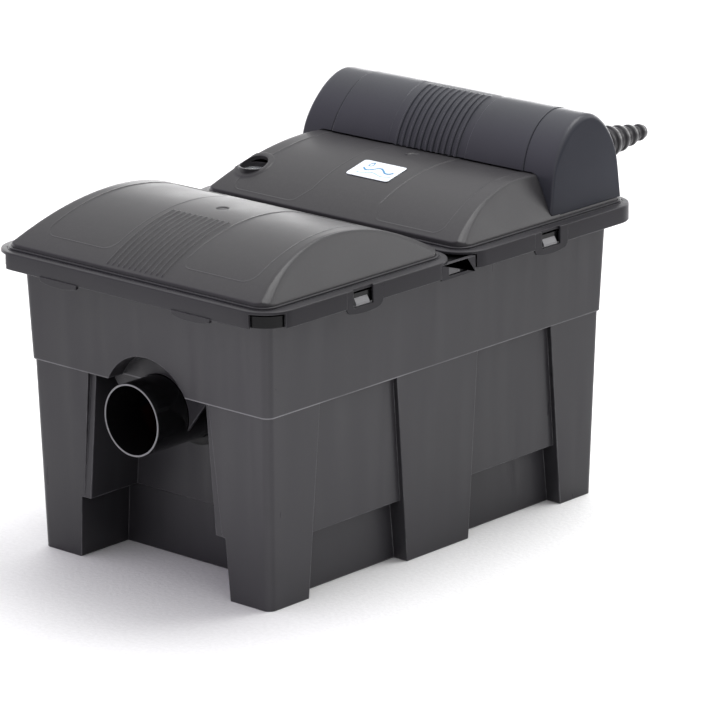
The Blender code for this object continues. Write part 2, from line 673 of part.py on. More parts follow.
# profiles about the unit's own axis: (radius, x)
HOUSING_PROFILE = [(0, -0.0880), (UV_RADIUS + 0.0030, -0.0880), (UV_RADIUS + 0.0030, -0.0800),
                   (UV_RADIUS, -0.0800), (UV_RADIUS, 0.1300), (0, 0.1300)]
END_PLUG_PROFILE = [(0, 0.1235), (0.0147, 0.1235), (0.0147, 0.1303), (0.0200, 0.1303),
                    (0.0200, 0.1375), (0, 0.1375)]
HEAD_PROFILE = [(0, -0.1180), (0.0300, -0.1180), (0.0340, -0.1150), (0.0340, -0.0885),
                (0, -0.0885)]
SLEEVE_PROFILE = [(0.0099, -0.0990), (0.0115, -0.0990), (0.0115, 0.1050), (0.0095, 0.1120),
                  (0.0050, 0.1155), (0, 0.1165), (0, 0.1150), (0.0045, 0.1138),
                  (0.0082, 0.1105), (0.0099, 0.1045)]
# (radius, z)
SPOUT_PROFILE = [(0.0115, 0.2850), (0.0138, 0.2850), (0.0138, 0.3168), (0.0185, 0.3168),
                 (0.0185, 0.3189), (0.0152, 0.3189), (0.0152, SPOUT_TOP), (0.0115, SPOUT_TOP)]

BALLAST_PLAN, BALLAST_TOP_PLAN = (0.0185, 0.0320, 0.004), (0.0165, 0.0300, 0.003)
CRADLE_PLAN = (0.0070, 0.0280, 0.003)
CRADLE_XS = {"left": -0.0350, "right": 0.0500}


def build_uv_housing():
    """The clarifier's body, with a branch to the hose and a spout into the tub."""
    housing = turned(HOUSING_PROFILE, "X", UV_CENTRE, 36)
    join(housing,
         rod("Y", INLET_CENTRE, 0.0165, (UV_Y + 0.0120, 0.2740), 28),
         rod("Z", SPOUT_CENTRE, 0.0140, (SPOUT_TOP + GAP, UV_Z - 0.0200), 24))
    cut(housing,
        rod("X", UV_CENTRE, UV_RADIUS - 0.0035, (-0.0900, 0.1265), 36),
        rod("X", UV_CENTRE, 0.0150, (0.1200, 0.1400), 28),
        rod("Y", INLET_CENTRE, 0.0130, (UV_Y, 0.2800), 28),
        rod("Z", SPOUT_CENTRE, 0.0115, (0.3000, UV_Z), 24))
    finish(housing, "uvc_housing", FITTING)
    finish(turned(END_PLUG_PROFILE, "X", UV_CENTRE, 20), "uvc_end_plug", FITTING)
    finish(turned(SPOUT_PROFILE, "Z", SPOUT_CENTRE, 18), "uvc_spout", FITTING)


def build_uv_lamp():
    head = turned(HEAD_PROFILE, "X", UV_CENTRE, 36)
    add_ribs(head, 12, "X", UV_CENTRE, (-0.1140, -0.0920), (-0.0018, 0.0018), (0.0325, 0.0362))
    cut(head, rod("X", UV_CENTRE, 0.0120, (-0.1000, -0.0800), 28))
    finish(head, "uvc_lamp_head", FITTING, pivot=(-0.1000, UV_Y, UV_Z))
    finish(turned(SLEEVE_PROFILE, "X", UV_CENTRE, 16), "quartz_sleeve", QUARTZ)
    finish(tube("X", UV_CENTRE, 0.0118, 0.0160, (-0.0882, -0.0840), 18),
           "sleeve_seal_ring", RUBBER)
    lamp_tube = rod("X", UV_CENTRE, 0.0070, (-0.0700, 0.0950), 14)
    lamp_base = rod("X", UV_CENTRE, 0.0088, (-0.0990, -0.0650), 14)
    finish(join(lamp_tube, lamp_base), "uvc_lamp", LAMP)


def build_ballast():
    centre = (LEAD_X, UV_Y)
    finish(loft([rounded(BALLAST_PLAN, DECK_TOP + GAP, centre, 3),
                 rounded(BALLAST_PLAN, 0.3820, centre, 3),
                 rounded(BALLAST_TOP_PLAN, 0.3850, centre, 3)]), "ballast_box", FITTING)


def build_cradles():
    half_x, half_y, _ = CRADLE_PLAN
    for key, x in CRADLE_XS.items():
        cradle = box((x - half_x, x + half_x), (UV_Y - half_y, UV_Y + half_y),
                     (DECK_TOP + GAP, 0.3480))
        cut(cradle, rod("X", UV_CENTRE, UV_RADIUS + GAP, (x - 0.02, x + 0.02), 36))
        keep(cradle, rounded_block(CRADLE_PLAN, (0.31, 0.36), (x, UV_Y), 3))
        finish(cradle, "uvc_cradle_%s" % key, FITTING)


# ---------------------------------------------------------------- hose inlet
UNION_FRONT, UNION_BACK = 0.2760, 0.2980
# (radius, y)
UNION_PROFILE = [(0.0178, UNION_FRONT), (0.0225, UNION_FRONT), (0.0235, UNION_FRONT + 0.0015),
                 (0.0235, UNION_BACK - 0.0015), (0.0225, UNION_BACK), (0.0183, UNION_BACK)]
TAIL_RADII = (0.0166, 0.0139, 0.0112, 0.0086)   # hose sizes, largest first
TAIL_STAGE = 0.0172               # length of one hose size
TAIL_TIP = 0.4035
TAIL_COLLAR = 0.0172              # radius before the first stage


def tail_profile():
    """Profile (radius, y) of the stepped tail: two barbs to each hose size."""
    start = TAIL_TIP - len(TAIL_RADII) * TAIL_STAGE
    profile = [(0.0100, 0.2768), (TAIL_COLLAR, 0.2768), (TAIL_COLLAR, 0.3020),
               (TAIL_COLLAR, start - 0.0080)]
    barb = TAIL_STAGE / 2
    for k, radius in enumerate(TAIL_RADII):
        for j in range(2):
            y = start + k * TAIL_STAGE + j * barb
            profile += [(radius + 0.0004, y), (radius + 0.0004, y + 0.0016),
                        (radius - 0.0010, y + barb - 0.0004)]
    return profile + [(TAIL_RADII[-1] - 0.0012, TAIL_TIP), (0.0060, TAIL_TIP),
                      (0.0060, 0.3860), (0.0100, 0.3500)]


def build_hose_inlet():
    union = turned(UNION_PROFILE, "Y", INLET_CENTRE, 30)
    add_ribs(union, 10, "Y", INLET_CENTRE, (-0.0022, 0.0022),
             (UNION_FRONT + 0.0030, UNION_BACK - 0.0030), (0.0222, 0.0252))
    finish(union, "hose_union_nut", FITTING,
           pivot=(INLET_X, (UNION_FRONT + UNION_BACK) / 2, INLET_Z))
    finish(tube("Y", INLET_CENTRE, 0.0132, 0.0165, (0.2743, 0.2765), 18),
           "hose_seal_ring", RUBBER)
    finish(turned(tail_profile(), "Y", INLET_CENTRE, 22), "hose_adapter", FITTING)


# ---------------------------------------------------------------- mains lead
LEAD_Z = 0.3300                   # where it leaves the ballast box
LEAD_RADIUS, LEAD_SIDES = 0.0034, 10
BALLAST_BACK = UV_Y + BALLAST_PLAN[1]
# (radius, y)
GLAND_PROFILE = [(0.0038, BALLAST_BACK + GAP), (0.0075, BALLAST_BACK + GAP), (0.0075, 0.2520),
                 (0.0055, 0.2560), (0.0045, 0.2640), (0.0038, 0.2640)]
# centre line (y, z): straight out, over the rim and down
LEAD_BEND, LEAD_END = (0.2980, 0.2950), (0.2975, 0.2098)
LEAD_PATH = [(BALLAST_BACK + 2 * GAP, LEAD_Z),
             *bezier((0.2660, LEAD_Z), (0.2880, LEAD_Z), (0.2975, 0.3220), LEAD_BEND, 9),
             *bezier(LEAD_BEND, (0.2990, 0.2650), (0.2975, 0.2500), LEAD_END, 5),
             LEAD_END]
# half x, half y, corner radius; z; centre y
PLUG_STATIONS = [((0.0060, 0.0060, 0.003), 0.2094, 0.2975),
                 ((0.0095, 0.0080, 0.004), 0.1950, 0.2980),
                 ((0.0120, 0.0085, 0.004), 0.1700, 0.2985),
                 ((0.0105, 0.0075, 0.004), 0.1650, 0.2985)]


def build_lead():
    points = [Vector((LEAD_X, y, z)) for y, z in LEAD_PATH]
    sideways = Vector((1, 0, 0))
    angles = [2 * math.pi * k / LEAD_SIDES for k in range(LEAD_SIDES)]
    rings = []
    for i, point in enumerate(points):
        along = (points[min(i + 1, len(points) - 1)] - points[max(i - 1, 0)]).normalized()
        upward = along.cross(sideways).normalized()
        rings.append([tuple(point + LEAD_RADIUS * (math.cos(angle) * sideways
                                                   + math.sin(angle) * upward))
                      for angle in angles])
    finish(loft(rings), "power_cable", CABLE)
    finish(turned(GLAND_PROFILE, "Y", (LEAD_X, 0, LEAD_Z), 14), "cable_gland", CABLE)
    finish(loft([rounded(plan, z, (LEAD_X, y), 3) for plan, z, y in PLUG_STATIONS]),
           "mains_plug", CABLE)


# ---------------------------------------------------------------- inside the tub
GRATE_SLOT_PITCH, GRATE_SLOT_HALF = 0.0350, 0.0110
GRATE_SLOT_YS = ((-0.1600, -0.0500), (-0.0350, 0.0800), (0.0950, 0.2100))
FOOT_XS, FOOT_YS, FOOT_HALF = (-0.1225, 0.1225), (-0.1650, 0.0250, 0.2150), 0.0060

PARTITION_YS = (0.1500, 0.1535)
COMB_START, COMB_PITCH, COMB_WIDTH = -0.1300, 0.0400, 0.0300

CARTRIDGES = {"front": (-0.1650, -0.0130), "rear": (-0.0060, 0.1460)}   # y spans
TRAY_BOTTOM = 0.0345
TRAY_SLOT_PITCH, TRAY_SLOT_HALF = 0.0460, 0.0180
TRAY_BORDER = 0.010               # uncut tray in front of and behind the slots
# colour, material, z span
FOAMS = [("blue", FOAM_BLUE, (0.0390, 0.1520)), ("red", FOAM_RED, (0.1530, 0.2660))]


def build_base_grate():
    grate = box((-0.1300, 0.1300), (-0.1720, 0.2220), (0.0300, 0.0340))
    for k in range(-3, 4):
        x = GRATE_SLOT_PITCH * k
        for ys in GRATE_SLOT_YS:
            cut(grate, box((x - GRATE_SLOT_HALF, x + GRATE_SLOT_HALF), ys, (0.02, 0.04)))
    for x in FOOT_XS:
        for y in FOOT_YS:
            join(grate, box((x - FOOT_HALF, x + FOOT_HALF), (y - FOOT_HALF, y + FOOT_HALF),
                            (0.0040, 0.0310)))
    finish(grate, "base_grate", GRID)


def build_partition():
    """An upright wall behind the cartridges, wider above and combed at the top."""
    wall = box((-0.1300, 0.1300), PARTITION_YS, (0.0344, 0.0700))
    join(wall, box((-0.1470, 0.1470), PARTITION_YS, (0.0695, 0.2880)))
    for k in range(7):
        x = COMB_START + COMB_PITCH * k
        cut(wall, box((x, x + COMB_WIDTH), (0.14, 0.16), (0.2700, 0.30)))
    finish(wall, "partition_wall", GRID)


def build_carrier(key):
    """A slotted tray with a stem and a grip on top, to lift the foams out."""
    front, back = CARTRIDGES[key]
    mid_y = (front + back) / 2
    slot_front, slot_back = front + TRAY_BORDER, back - TRAY_BORDER
    carrier = box((-0.1250, 0.1250), (front, back), (TRAY_BOTTOM, 0.0385))
    slots = [(k, (slot_front, slot_back)) for k in (-2, -1, 1, 2)]
    # the middle slot is split to leave a land under the stem
    slots += [(0, (slot_front, mid_y - 0.014)), (0, (mid_y + 0.014, slot_back))]
    for k, ys in slots:
        x = TRAY_SLOT_PITCH * k
        cut(carrier, box((x - TRAY_SLOT_HALF, x + TRAY_SLOT_HALF), ys, (0.03, 0.04)))
    join(carrier,
         rod("Z", (0, mid_y, 0), 0.0080, (0.0380, 0.3000), 20),
         box((-0.0450, 0.0450), (mid_y - 0.0065, mid_y + 0.0065), (0.2950, 0.3060)))
    finish(carrier, "foam_carrier_%s" % key, HANDLE, pivot=(0, mid_y, TRAY_BOTTOM))


def build_foams(key):
    front, back = CARTRIDGES[key]
    mid_y = (front + back) / 2
    plan = (0.1240, (back - front) / 2 - 0.0010, 0.006)
    for colour, mat, levels in FOAMS:
        foam = rounded_block(plan, levels, (0, mid_y), 2)
        cut(foam, rod("Z", (0, mid_y, 0), 0.0095, (0.02, 0.30), 16))
        finish(foam, "foam_%s_%s" % (colour, key), mat)


# ---------------------------------------------------------------- sludge drain
# (radius, y)
SPIGOT_PROFILE = [(0.0095, 0.2230), (0.0170, 0.2230), (0.0170, 0.2279), (0.0125, 0.2279),
                  (0.0125, 0.2480), (0.0095, 0.2480)]
CAP_PROFILE = [(0, 0.2580), (0, 0.2503), (0.0129, 0.2503), (0.0129, 0.2360),
               (0.0165, 0.2360), (0.0165, 0.2565), (0.0150, 0.2580)]


def build_drain():
    finish(turned(SPIGOT_PROFILE, "Y", DRAIN_CENTRE, 20), "drain_spigot", FITTING)
    finish(tube("Y", DRAIN_CENTRE, 0.0095, 0.0128, (0.2483, 0.2500), 18),
           "drain_seal", RUBBER)
    cap = turned(CAP_PROFILE, "Y", DRAIN_CENTRE, 24)
    add_ribs(cap, 8, "Y", DRAIN_CENTRE, (-0.0018, 0.0018), (0.2380, 0.2550), (0.0155, 0.0182))
    finish(cap, "drain_cap", FITTING, pivot=(0, 0.2470, DRAIN_CENTRE[2]))


# ---------------------------------------------------------------- build
build_container()
for cover_side, cover_key in ((-1, "front"), (1, "rear")):
    build_cover_frame(cover_side, cover_key)
    build_lid_seal(cover_side, cover_key)
build_front_lid()
build_rear_lid()
build_hood()
build_label()
build_level_float()
build_clips()
build_outlet()
build_uv_housing()
build_uv_lamp()
build_ballast()
build_cradles()
build_hose_inlet()
build_lead()
build_base_grate()
build_partition()
for cartridge in CARTRIDGES:
    build_carrier(cartridge)
    build_foams(cartridge)
build_drain()
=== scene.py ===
# A box filter with a UV clarifier: a tapered tub on a plinth, two domed covers with clips, a
# ribbed hood over the rear cover, an outlet pipe at the front and foam cartridges inside.
# Metres, +Z up. The front faces -Y, the right side is +X, and the tub stands on z = 0.
import math
from contextlib import contextmanager

import bmesh
import bpy
import numpy as np
from mathutils import Matrix, Vector, noise


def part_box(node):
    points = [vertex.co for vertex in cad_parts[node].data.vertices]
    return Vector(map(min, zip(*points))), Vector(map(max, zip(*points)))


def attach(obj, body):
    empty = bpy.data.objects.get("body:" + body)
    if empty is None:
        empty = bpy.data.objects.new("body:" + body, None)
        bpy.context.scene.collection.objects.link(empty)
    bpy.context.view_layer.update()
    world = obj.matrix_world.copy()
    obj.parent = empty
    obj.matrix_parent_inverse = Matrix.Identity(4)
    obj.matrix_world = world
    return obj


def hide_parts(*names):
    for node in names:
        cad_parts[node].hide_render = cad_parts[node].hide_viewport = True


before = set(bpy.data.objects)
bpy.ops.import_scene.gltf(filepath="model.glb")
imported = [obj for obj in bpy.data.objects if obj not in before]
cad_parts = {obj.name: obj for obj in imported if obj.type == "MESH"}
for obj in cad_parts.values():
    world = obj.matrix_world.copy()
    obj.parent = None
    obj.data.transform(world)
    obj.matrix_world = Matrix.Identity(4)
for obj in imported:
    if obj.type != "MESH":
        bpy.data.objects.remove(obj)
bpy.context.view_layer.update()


# ------------------------------------------------------------------ sizes read from the frame
def middle(node):
    return [(low + high) / 2 for low, high in zip(*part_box(node))]


# Sizes ending in _X or _Y with a plain part name are half widths from the centre planes.
(_, _, SKIRT_BOT), (SKIRT_X, _, _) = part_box("rear_lid_frame")
SKIRT_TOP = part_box("clip_rear_right")[1][2]
SKIRT_Y = -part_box("front_lid_frame")[0][1]
MID_GAP = -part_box("front_lid_frame")[1][1]
TAB_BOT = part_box("front_lid_frame")[0][2]
(_, DOME_Y0, DOME_BASE), (DOME_X, DOME_Y1, DOME_TOP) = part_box("rear_lid")
(_, _, HOOD_BOT), (HOOD_X_BOT, HOOD_BACK, HOOD_CROWN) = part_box("uvc_hood")
(_, PIPE_MOUTH, _), (PIPE_R, PIPE_END, _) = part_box("outlet_pipe")
PIPE_Z = middle("outlet_pipe")[2]
PIPE_AXIS = (0, 0, PIPE_Z)
LIP_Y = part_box("container")[1][1]
(CLIP_X, _, CLIP_BOT), (_, _, CLIP_TOP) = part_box("clip_front_right")
CLIPS = {key: (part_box("clip_%s_right" % key)[0][1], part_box("clip_%s_right" % key)[1][1])
         for key in ("front", "rear")}
INLET_X, _, INLET_Z = middle("hose_adapter")
TAIL_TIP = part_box("hose_adapter")[1][1]
FLOAT_X, FLOAT_Y, _ = middle("window_lens")
FLOAT_AXIS = (FLOAT_X, FLOAT_Y, 0)
LENS_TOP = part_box("window_lens")[1][2]

# ------------------------------------------------------------------ shared shape sizes
WINDOWS = {"front": (-0.1636, -0.1346), "rear": (0.1225, 0.1520)}  # y range open in each clip
ENDS = (("front", -1), ("rear", 1))
SIDES = (("right", 1), ("left", -1))
BEYOND_X = 0.21                      # a cut that runs out past the side of the covers
SKIRT_T, SKIRT_R, SKIRT_EDGE = 0.0025, 0.035, 0.0013
# arch radius and centre y, foot height, run in x per rise at the ends, wall
DOME_R, DOME_YC, DOME_EDGE, DOME_LEAN, DOME_T = 0.2337, 0.1435, 0.3205, 0.67, 0.003
DOME_CORNER = 0.0155
DECK_TOP, DECK_Y = 0.3222, 0.1720    # flat deck at the back of the rear dome
HOOD_X_TOP, HOOD_T, HOOD_FRONT, HOOD_SIDE_Z = 0.1695, 0.0028, 0.1570, 0.3620
STEP_Z, RIM_Z0, RIM_Z1, WALL = 0.2009, 0.3085, 0.3120, 0.0035
LIP_X, LIP_R = 0.1893, 0.031
# tub half widths (x, y) at the floor, under and over the step, and at the rim
FLOOR_HALF, LOW_HALF = (0.1578, 0.2502), (0.1629, 0.2553)
UP_HALF, RIM_HALF = (0.1646, 0.2570), (0.1688, 0.2612)
TUB_R = 0.009


# ------------------------------------------------------------------ shader graphs
MID = (0.3, 0.7)       # the middle of a noise's range, where most of it lies


def rgb(code):
    """A colour written as sRGB hex, in linear light."""
    linear = []
    for start in (0, 2, 4):
        value = int(code[start:start + 2], 16) / 255
        linear.append(value / 12.92 if value <= 0.04045 else ((value + 0.055) / 1.055) ** 2.4)
    return linear


def shade(colour, gain):
    return [channel * gain for channel in colour]


class Graph:
    """A node tree, with short ways to add nodes. Any input takes a socket or a value."""

    def __init__(self, tree):
        self.tree = tree

    def put(self, socket, value):
        if hasattr(value, "links"):
            self.tree.links.new(value, socket)
        elif socket.type == "RGBA":
            socket.default_value = (*value, 1.0)
        else:
            socket.default_value = value

    def node(self, kind, inputs=None, **settings):
        made = self.tree.nodes.new(kind)
        for name, value in settings.items():
            setattr(made, name, value)
        for key, value in (inputs or {}).items():
            self.put(made.inputs[key], value)
        return made

    def math(self, how, *values):
        return self.node("ShaderNodeMath", dict(enumerate(values)), operation=how).outputs[0]

    def dot(self, first, second):
        made = self.node("ShaderNodeVectorMath", {0: first, 1: second}, operation="DOT_PRODUCT")
        return made.outputs["Value"]

    def axes(self, vector):
        return self.node("ShaderNodeSeparateXYZ", {0: vector}).outputs

    def span(self, value, over, to=(0.0, 1.0), **settings):
        """The value carried from the range `over` to the range `to`."""
        inputs = {"Value": value, "From Min": over[0], "From Max": over[1],
                  "To Min": to[0], "To Max": to[1]}
        return self.node("ShaderNodeMapRange", inputs, **settings).outputs["Result"]

    def mix(self, share, first, second, how="MIX"):
        return self.node("ShaderNodeMix", {0: share, 6: first, 7: second},
                         data_type="RGBA", blend_type=how).outputs[2]


class Material(Graph):
    def __init__(self, name):
        self.mat = bpy.data.materials.new(name)
        self.mat.use_nodes = True
        super().__init__(self.mat.node_tree)
        self.shader = self.tree.nodes["Principled BSDF"]
        self.position = self.node("ShaderNodeTexCoord").outputs["Object"]

    def mapped(self, stretch=(1, 1, 1)):
        return self.node("ShaderNodeMapping",
                         {"Scale": stretch, "Vector": self.position}).outputs["Vector"]

    def noise(self, scale, detail=3, rough=0.55, stretch=(1, 1, 1)):
        inputs = {"Scale": scale, "Detail": detail, "Roughness": rough,
                  "Vector": self.mapped(stretch)}
        return self.node("ShaderNodeTexNoise", inputs).outputs["Fac"]

    def cells(self, scale):
        inputs = {"Scale": scale, "Vector": self.mapped()}
        return self.node("ShaderNodeTexVoronoi", inputs).outputs["Distance"]

    def rounded_edges(self, radius):
        """Normals turned over a small radius at every edge, and how far they turn."""
        normal = self.node("ShaderNodeBevel", {"Radius": radius}, samples=4).outputs["Normal"]
        flat = self.node("ShaderNodeNewGeometry").outputs["Normal"]
        return normal, self.span(self.dot(normal, flat), over=(0.91, 0.995), to=(1.0, 0.0))

    def surface(self, **values):
        for name, value in values.items():
            self.put(self.shader.inputs[name.replace("_", " ")], value)

    def bump(self, heights, normal=None):
        """heights: (socket, depth) pairs, chained."""
        for height, depth in heights:
            inputs = {"Strength": 1.0, "Distance": depth, "Height": height}
            if normal is not None:
                inputs["Normal"] = normal
            normal = self.node("ShaderNodeBump", inputs).outputs["Normal"]
        self.surface(Normal=normal)


# ------------------------------------------------------------------ plastic
DUST = (0.22, 0.215, 0.205)
# colour of the painted highlight line along the tub's step
STEP_HIGHLIGHT_COLOUR = (0.19, 0.187, 0.197)
# half reach of the tub's inner walls in x and y, spared most painted shade: (below the step, above
# it)
INNER_REACH = ((0.1400, 0.1630), (0.2200, 0.2545))
INNER_SLOPE, INNER_LIGHT = 0.03, 0.8     # their growth with height, least level of the painted shade on them


def dusted(net, base, rough, facing, dust):
    """Specks of dust where the surface faces up."""
    up = net.axes(facing)["Z"]
    speck = net.noise(scale=230, detail=3, rough=0.7)
    fall = net.math("MULTIPLY", net.span(up, over=(0.35, 1.0)),
                    net.span(speck, over=(0.45, 0.72)))
    base = net.mix(net.math("MULTIPLY", fall, dust), base, DUST)
    return base, net.math("ADD", rough, net.math("MULTIPLY", fall, dust * 0.5))


def painted_step_highlight(net, base, step_line_z):
    """A painted highlight: a broken pale line at the height of the tub's step."""
    off = net.math("ABSOLUTE", net.math("SUBTRACT", net.axes(net.position)["Z"], step_line_z))
    line = net.math("MULTIPLY", net.span(off, over=(0.0004, 0.0010), to=(1.0, 0.0)),
                    net.span(net.noise(scale=9, detail=2), over=(0.35, 0.6), to=(0.25, 1.0)))
    return net.mix(line, base, STEP_HIGHLIGHT_COLOUR)


def painted_hollow_shade(net, shade_depth, step_line_z):
    """Painted shade in hollows: 1 in the open, falling by the given depth in hollows. The inner
    walls are held light.
    """
    hollow = net.node("ShaderNodeAmbientOcclusion", {"Distance": 0.13},
                      samples=5, only_local=True).outputs["AO"]
    unshaded_share = net.span(hollow, over=(0.18, 0.58), to=(1.0 - shade_depth, 1.0))
    at = net.axes(net.position)
    above = net.math("MAXIMUM", net.math("SUBTRACT", at["Z"], step_line_z), 0.0)
    grown = net.math("MULTIPLY", above, INNER_SLOPE)
    upper = net.math("GREATER_THAN", at["Z"], step_line_z)
    reaches = [net.math("ADD", net.math("MULTIPLY", upper, high - low),
                        net.math("ADD", grown, low)) for low, high in INNER_REACH]
    within = net.math("MULTIPLY", *[
        net.math("LESS_THAN", net.math("ABSOLUTE", at[axis]), reach)
        for axis, reach in zip("XY", reaches)])
    return net.math("MAXIMUM", unshaded_share, net.math("MULTIPLY", within, INNER_LIGHT))


def painted_light_slope(net, base, shine, lit_gradient):
    """Painted light and shade: shine and tone that change evenly over the piece: (at the origin,
    per x, per y).
    """
    at = net.axes(net.position)
    level = net.math("ADD", net.math("MULTIPLY", at["X"], lit_gradient[1]), lit_gradient[0])
    level = net.math("ADD", level, net.math("MULTIPLY", at["Y"], lit_gradient[2]))
    level = net.math("MAXIMUM", level, 0.66)
    shine = net.math("MULTIPLY", shine, level)
    tone = net.mix(net.span(level, over=(0.66, 1.1)), (0.70, 0.70, 0.70), (1.06, 1.06, 1.06))
    return net.mix(1.0, base, tone, "MULTIPLY"), shine


def plastic(name, colour, rough, grain=0.00005, wave=0.00020, tint=None, streaks=0.0, dust=0.0,
            edge_wear_and_highlight=0.30, specular=0.5, edge=0.0009, shade_depth=0.0, step_line_z=None, lit_gradient=None, ends=1.0):
    """Moulded plastic.

    grain, wave: depths of the fine and the slow bump      tint: colour of the broad clouds
    streaks: roughness swing of flow lines down the walls  dust: strength on upward faces
    edge_wear_and_highlight, edge: pale rubbed edges, which are also a painted highlight, and
    their radius                                           specular: shine
    shade_depth: strength of the painted shade in hollows  lit_gradient: see painted_light_slope()
    step_line_z: height of the step, where a pale line is painted as a highlight
    ends: share of shine left on faces turned to +-X, which paints shade on them
    """
    net = Material(name)
    fine = net.noise(scale=900, detail=2, rough=0.6)
    mottle = net.noise(scale=16, detail=3, rough=0.5)
    cloud = net.noise(scale=4.5, detail=2, rough=0.5)
    base = net.mix(net.span(mottle, over=MID), shade(colour, 0.88), shade(colour, 1.12))
    base = net.mix(net.span(cloud, over=(0.35, 0.75), to=(0.0, 0.40)), base,
                   tint or shade(colour, 1.15))
    base = net.mix(net.span(fine, over=(0.35, 0.75), to=(0.0, 0.35)), base, shade(colour, 1.45))
    facing = None
    if dust or ends < 1.0:
        facing = net.node("ShaderNodeNewGeometry").outputs["Normal"]
    normal, turned_by = net.rounded_edges(edge)
    patchy = net.span(net.noise(scale=70, detail=3, rough=0.6), over=(0.35, 0.65), to=(0.35, 1.0))
    # pale rubbed edges, which also stand as a painted highlight along every edge
    pale_edge_share = net.math("MULTIPLY", turned_by, patchy)
    base = net.mix(net.math("MULTIPLY", pale_edge_share, edge_wear_and_highlight), base,
                   [min(channel * 4.0 + 0.12, 1) for channel in colour])
    roughness = net.span(mottle, over=MID, to=(rough - 0.045, rough + 0.045))
    if streaks:
        flow = net.noise(scale=34, detail=3, rough=0.5, stretch=(1.7, 1.7, 0.09))
        swing = net.span(flow, over=MID, to=(-streaks, streaks))
        roughness = net.math("ADD", roughness, swing)
        base = net.mix(net.span(flow, over=(0.5, 0.75), to=(0.0, 0.30)), base, shade(colour, 1.6))
    if dust:
        base, roughness = dusted(net, base, roughness, facing, dust)
    shine = net.math("ADD", specular, 0.0)
    if step_line_z:
        # a painted highlight along the step
        base = painted_step_highlight(net, base, step_line_z)
        # painted shade in hollows, on colour and shine alike
        unshaded_share = painted_hollow_shade(net, shade_depth, step_line_z)
        base = net.mix(1.0, base, net.mix(unshaded_share, (0, 0, 0), (1, 1, 1)), "MULTIPLY")
        shine = net.math("MULTIPLY", shine, unshaded_share)
    # painted light and shade that change evenly over the piece
    if lit_gradient:
        base, shine = painted_light_slope(net, base, shine, lit_gradient)
    # painted shade: less shine on faces turned to +-X
    if ends < 1.0:
        across = net.math("ABSOLUTE", net.axes(facing)["X"])
        shine = net.math("MULTIPLY", shine, net.span(across, over=(0.70, 0.97), to=(1.0, ends)))
    net.surface(Base_Color=base, Roughness=roughness, Specular_IOR_Level=shine)
    net.bump([(fine, grain), (net.noise(scale=9, detail=1, rough=0.4), wave)], normal)
    return net.mat


# ------------------------------------------------------------------ other materials
def rubber(name, colour, rough=0.72):
    net = Material(name)
    fine = net.noise(scale=600, detail=2, rough=0.7)
    net.surface(
        Base_Color=net.mix(net.span(fine, over=(0.35, 0.7)), colour, shade(colour, 1.8)),
        Roughness=net.span(net.noise(scale=40), over=MID, to=(rough - 0.08, rough + 0.08)))
    net.bump([(fine, 0.00008)])
    return net.mat


def foam(name, colour, pores):
    """Open-celled foam: cell walls in the colour, pores painted dark as the shade in them, a
    slightly ragged cut face.
    """
    net = Material(name)
    large = net.cells(pores)
    small = net.cells(pores * 2.3)
    wall = net.math("MINIMUM", net.span(large, over=(0.10, 0.45)),
                    net.span(small, over=(0.05, 0.4), to=(0.25, 1.0)))
    tone = net.mix(net.span(net.noise(scale=20, detail=3), over=(0.35, 0.7)),
                   shade(colour, 0.8), [min(channel * 1.25, 1) for channel in colour])
    # the pores are painted near black, as painted shade
    net.surface(Base_Color=net.mix(wall, shade(colour, 0.12), tone),
                Roughness=0.95, Specular_IOR_Level=0.15)
    net.bump([(wall, 0.0012), (net.noise(scale=260, detail=3, rough=0.7), 0.0004)])
    return net.mat


def glass(name, colour, rough=0.03):
    net = Material(name)
    cloud = net.span(net.noise(scale=60, detail=3), over=MID)
    smear = net.noise(scale=120, detail=3, rough=0.6)
    net.surface(Base_Color=net.mix(cloud, colour, shade(colour, 0.96)),
                Roughness=net.span(smear, over=(0.4, 0.7), to=(rough, rough + 0.06)),
                Transmission_Weight=0.9, IOR=1.47)
    net.bump([(net.noise(scale=30, detail=2), 0.00005)])
    return net.mat


def pale_floor():
    net = Material("floor_pale")
    grain = net.noise(scale=220, detail=3, rough=0.6)
    net.surface(Base_Color=net.mix(net.span(grain, over=(0.35, 0.7)),
                                   (0.90, 0.90, 0.90), (0.96, 0.96, 0.96)),
                Roughness=0.75, Specular_IOR_Level=0.25)
    net.bump([(grain, 0.0004)])
    return net.mat


# Painted light in these finishes: pale edges that stand as painted highlights, painted shade on
# faces turned to +-X, and on the tub also painted shade in hollows, a painted highlight line along
# the step and a painted light gradient.
TUB = plastic("tub_plastic", rgb("302f32"), rough=0.40, tint=rgb("353338"), streaks=0.10,
              edge_wear_and_highlight=0.85, specular=0.45, edge=0.0013, shade_depth=0.88, ends=0.68, step_line_z=0.2014,
              lit_gradient=(0.81, 0.94, -0.64))
COVER = plastic("cover_plastic", rgb("2d2c2e"), rough=0.40, tint=rgb("323134"), dust=0.04,
                specular=0.44)
FRAME = plastic("skirt_plastic", rgb("29282b"), rough=0.38, tint=rgb("2d2c31"), dust=0.02,
                specular=0.36, edge_wear_and_highlight=0.40, edge=0.0007, ends=0.35)
CATCH = plastic("catch_plastic", rgb("6c6c6e"), rough=0.40, edge_wear_and_highlight=0.5)
